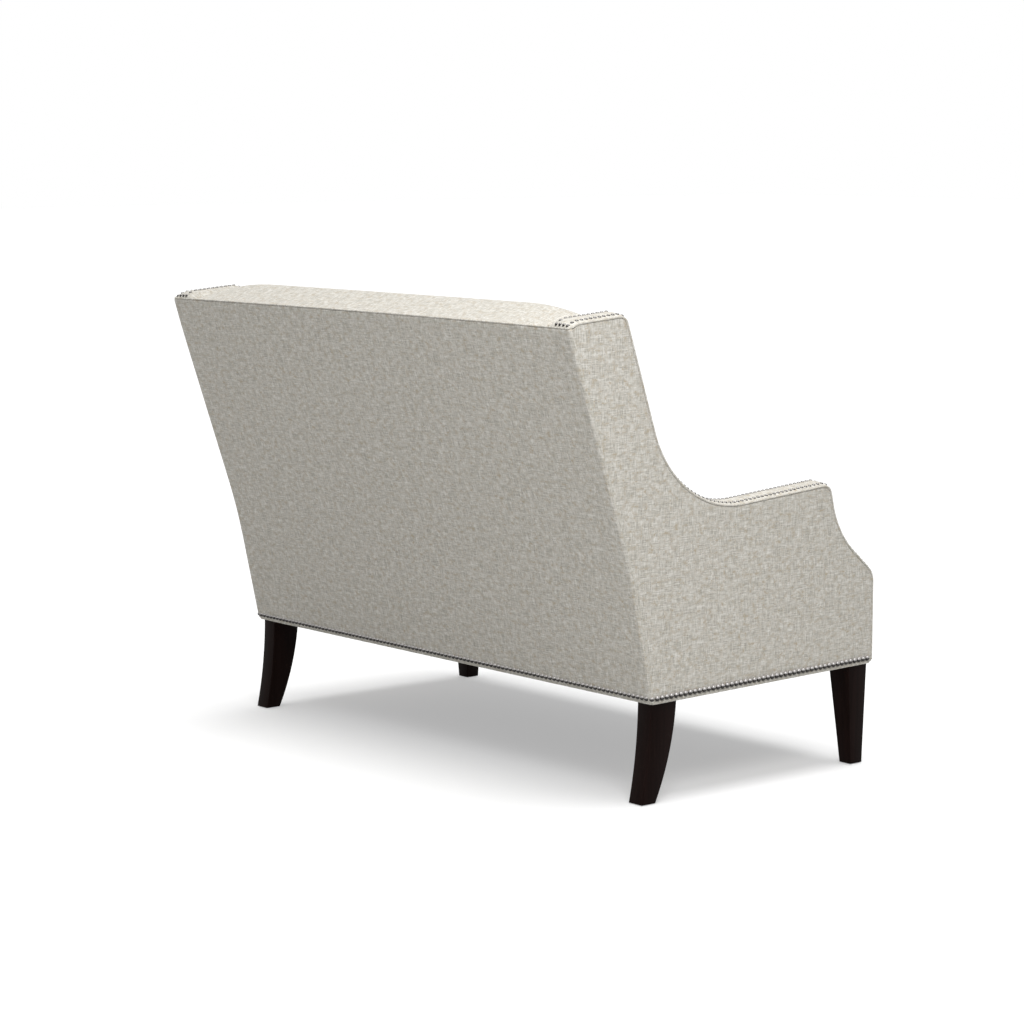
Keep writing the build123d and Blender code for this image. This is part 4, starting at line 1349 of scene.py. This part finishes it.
def leg_piece(name, sections, side):
    """A leg up through eased sections, each an outer X, a width, a front point and a back point."""
    rings = []
    for outer, width, front, back in sections:
        # The top is cut to the tilt of the base
        front, back = (np.array([y, min(z, base_height(y))]) for y, z in (front, back))
        depth = np.linalg.norm(back - front)
        ring = []
        for corner_x, corner_s, start in ((1, 1, 0), (-1, 1, 90), (-1, -1, 180), (1, -1, 270)):
            for turn in range(start, start + 91, 30):
                ease_x, ease_s = leg_edge * direction(turn)
                x = outer - width / 2 + corner_x * (width / 2 - leg_edge) + ease_x
                s = corner_s * (depth / 2 - leg_edge) + ease_s
                ring.append((x, *((front + back) / 2 + (back - front) / depth * s)))
        rings.append(ring)
    points = sided(np.array(rings), side)
    rows, columns = points.shape[:2]
    faces = grid_faces(rows, columns, closed=True, flip=side > 0)
    ends = [tuple(range(columns)), tuple(range((rows - 1) * columns, rows * columns))[::-1]]
    faces += ends if side > 0 else [end[::-1] for end in ends]
    return crisp(new_piece(name, points.reshape(-1, 3), faces))


rear_leg_outer = half_width - rear_leg_side_inset
rear_leg_back = front_y + base_depth - rear_leg_set_in
rear_foot_back = rear_leg_back + rear_leg_sweep
front_leg_outer = half_width - front_leg_side_inset
front_leg_front = front_y + front_leg_front_inset
leg_top = base_height(front_y)


def rear_leg(side, name):
    """The sabre leg: two sweeping curves."""
    middle = (leg_top + glide_height) / 2
    curves = []
    for top, bow, foot in (
        (rear_leg_back - rear_leg_top_depth, rear_leg_front_bow, rear_foot_back - rear_leg_foot_depth),
        (rear_leg_back, rear_leg_back_bow, rear_foot_back),
    ):
        curves.append(arc_through((foot, glide_height), (top + bow, middle), (top, leg_top), count=33))
    sections = [(rear_leg_outer, rear_leg_width, front, back) for front, back in zip(*curves)]
    return leg_piece(name, sections, side)


def front_leg(side, name):
    """The straight leg, tapered on all four faces."""
    sections = []
    for share in np.linspace(0, 1, 9):
        z = glide_height + share * (leg_top - glide_height)
        outer = front_leg_outer - front_leg_foot_outer * (1 - share)
        width = front_leg_foot_width + share * (front_leg_top_width - front_leg_foot_width)
        depth = front_leg_foot_depth + share * (front_leg_top_depth - front_leg_foot_depth)
        front = front_leg_front + front_leg_foot_front * (1 - share)
        sections.append((outer, width, (front, z), (front + depth, z)))
    return leg_piece(name, sections, side)


def glides():
    """Domed plastic glides under the feet."""
    profile = [(0.75, 0.0), (0.93, 0.12), (1.0, 0.35), (1.0, 1.0)]
    segments = 32
    glide, faces = turned(profile, glide_radius, glide_height, segments)
    # A fan about the middle of the foot takes the place of its one flat face
    glide = np.vstack([glide, np.zeros(3)])
    faces[-1:] = [(len(glide) - 1, (k + 1) % segments, k) for k in range(segments)]
    rear_x = rear_leg_outer - rear_leg_width / 2
    rear_y = rear_foot_back - rear_leg_foot_depth / 2
    front_x = front_leg_outer - front_leg_foot_outer - front_leg_foot_width / 2
    front_foot_y = front_leg_front + front_leg_foot_front + front_leg_foot_depth / 2
    feet = ((rear_x, rear_y), (-rear_x, rear_y), (front_x, front_foot_y), (-front_x, front_foot_y))
    return crisp(joined("leg_glides_plastic", [(glide + np.array([x, y, 0.0]), faces) for x, y in feet]))


for side, word in both_sides:
    dress(rear_leg(side, f"{word}_rear_leg_wood"), "leg_wood", [f"{word}_rear_leg"])
    dress(front_leg(side, f"{word}_front_leg_wood"), "leg_wood", [f"{word}_front_leg"])
dress(glides(), "glide_plastic", ["leg_glides"])

# Frame pieces that stay as the solids have them
solid_endings = {
    "frame_wood": ["rear_post", "front_post", "arm_rail", "bottom_rail", "seat_rail", "stretcher",
                   "corner_blocks", "dowels", "lower_rail", "top_rail", "uprights"],
    "plywood": ["side_panel", "inner_panel"],
    "steel": ["springs", "clips", "bolts", "inserts"],
}
for name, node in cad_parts.items():
    for slot, endings in solid_endings.items():
        if name.endswith(tuple(endings)):
            node.data.materials.clear()
            node.data.materials.append(looks[slot])


# Stage, light and camera

def seen_share(tree):
    """1 for the rays that show the background: from the camera, mirrored or through glass."""
    rays = add_node(tree, "ShaderNodeLightPath")
    seen = rays.outputs["Is Camera Ray"]
    for kind in ("Is Glossy Ray", "Is Transmission Ray"):
        seen = maths(tree, "MAXIMUM", seen, rays.outputs[kind])
    return seen


def stage():
    """A pale floor that shows white to the camera and keeps the shadow."""
    corners = [(a * floor_reach, b * floor_reach, 0.0) for a, b in ((-1, -1), (1, -1), (1, 1), (-1, 1))]
    floor = new_piece("floor", corners, [(0, 1, 2, 3)])
    material, tree, shader = new_material("floor")
    set_values(shader, {
        "Base Color": (floor_tone, floor_tone, floor_tone, 1.0), "Roughness": 1.0,
        "Specular IOR Level": 0.0, "Emission Color": (1.0, 1.0, 1.0, 1.0),
    })
    tree.links.new(maths(tree, "MULTIPLY", seen_share(tree), floor_glow), shader.inputs["Emission Strength"])
    floor.data.materials.append(material)


def world_light():
    """Soft even light, with white behind the object."""
    world = bpy.data.worlds.new("studio")
    bpy.context.scene.world = world
    world.use_nodes = True
    tree = world.node_tree
    background = tree.nodes["Background"]
    background.inputs["Color"].default_value = (1.0, 1.0, 1.0, 1.0)
    strength = maths(tree, "ADD", maths(tree, "MULTIPLY", seen_share(tree), 1 - ambient), ambient)
    tree.links.new(strength, background.inputs["Strength"])


def put(name, data, towards, place=(0.0, 0.0, 0.0)):
    """A lamp or camera at a place, pointing along a direction."""
    holder = bpy.data.objects.new(name, data)
    holder.location = place
    holder.rotation_mode = "QUATERNION"
    holder.rotation_quaternion = Vector(towards).to_track_quat("-Z", "Y")
    bpy.context.scene.collection.objects.link(holder)
    return holder


def lamps():
    """A broad lamp overhead, and a soft lamp beside the object, out of the camera's sight."""
    key = bpy.data.lights.new("key", "SUN")
    key.energy = 3.15
    key.angle = math.radians(36.0)
    put("key", key, towards=(0.06, 0.0, -1.0))
    side = bpy.data.lights.new("side", "AREA")
    side.size = 1.0
    side.energy = 34.0
    place, target = Vector((-2.2, 1.3, 2.2)), Vector((-0.5, 0.2, 0.6))
    put("side", side, target - place, place).visible_camera = False


def photo_camera():
    """The camera at the photograph's viewing angle."""
    data = bpy.data.cameras.new("camera")
    data.sensor_width = sensor
    data.lens = lens
    data.clip_end = 100.0
    azimuth, elevation = math.radians(camera_azimuth), math.radians(camera_elevation)
    level_reach = math.cos(elevation)
    towards = (-math.sin(azimuth) * level_reach, math.cos(azimuth) * level_reach, -math.sin(elevation))
    x, behind, z = camera_place
    bpy.context.scene.camera = put("camera", data, towards, (x, front_y + behind, z))


stage()
world_light()
lamps()
photo_camera()
bpy.context.scene.view_settings.view_transform = "Standard"
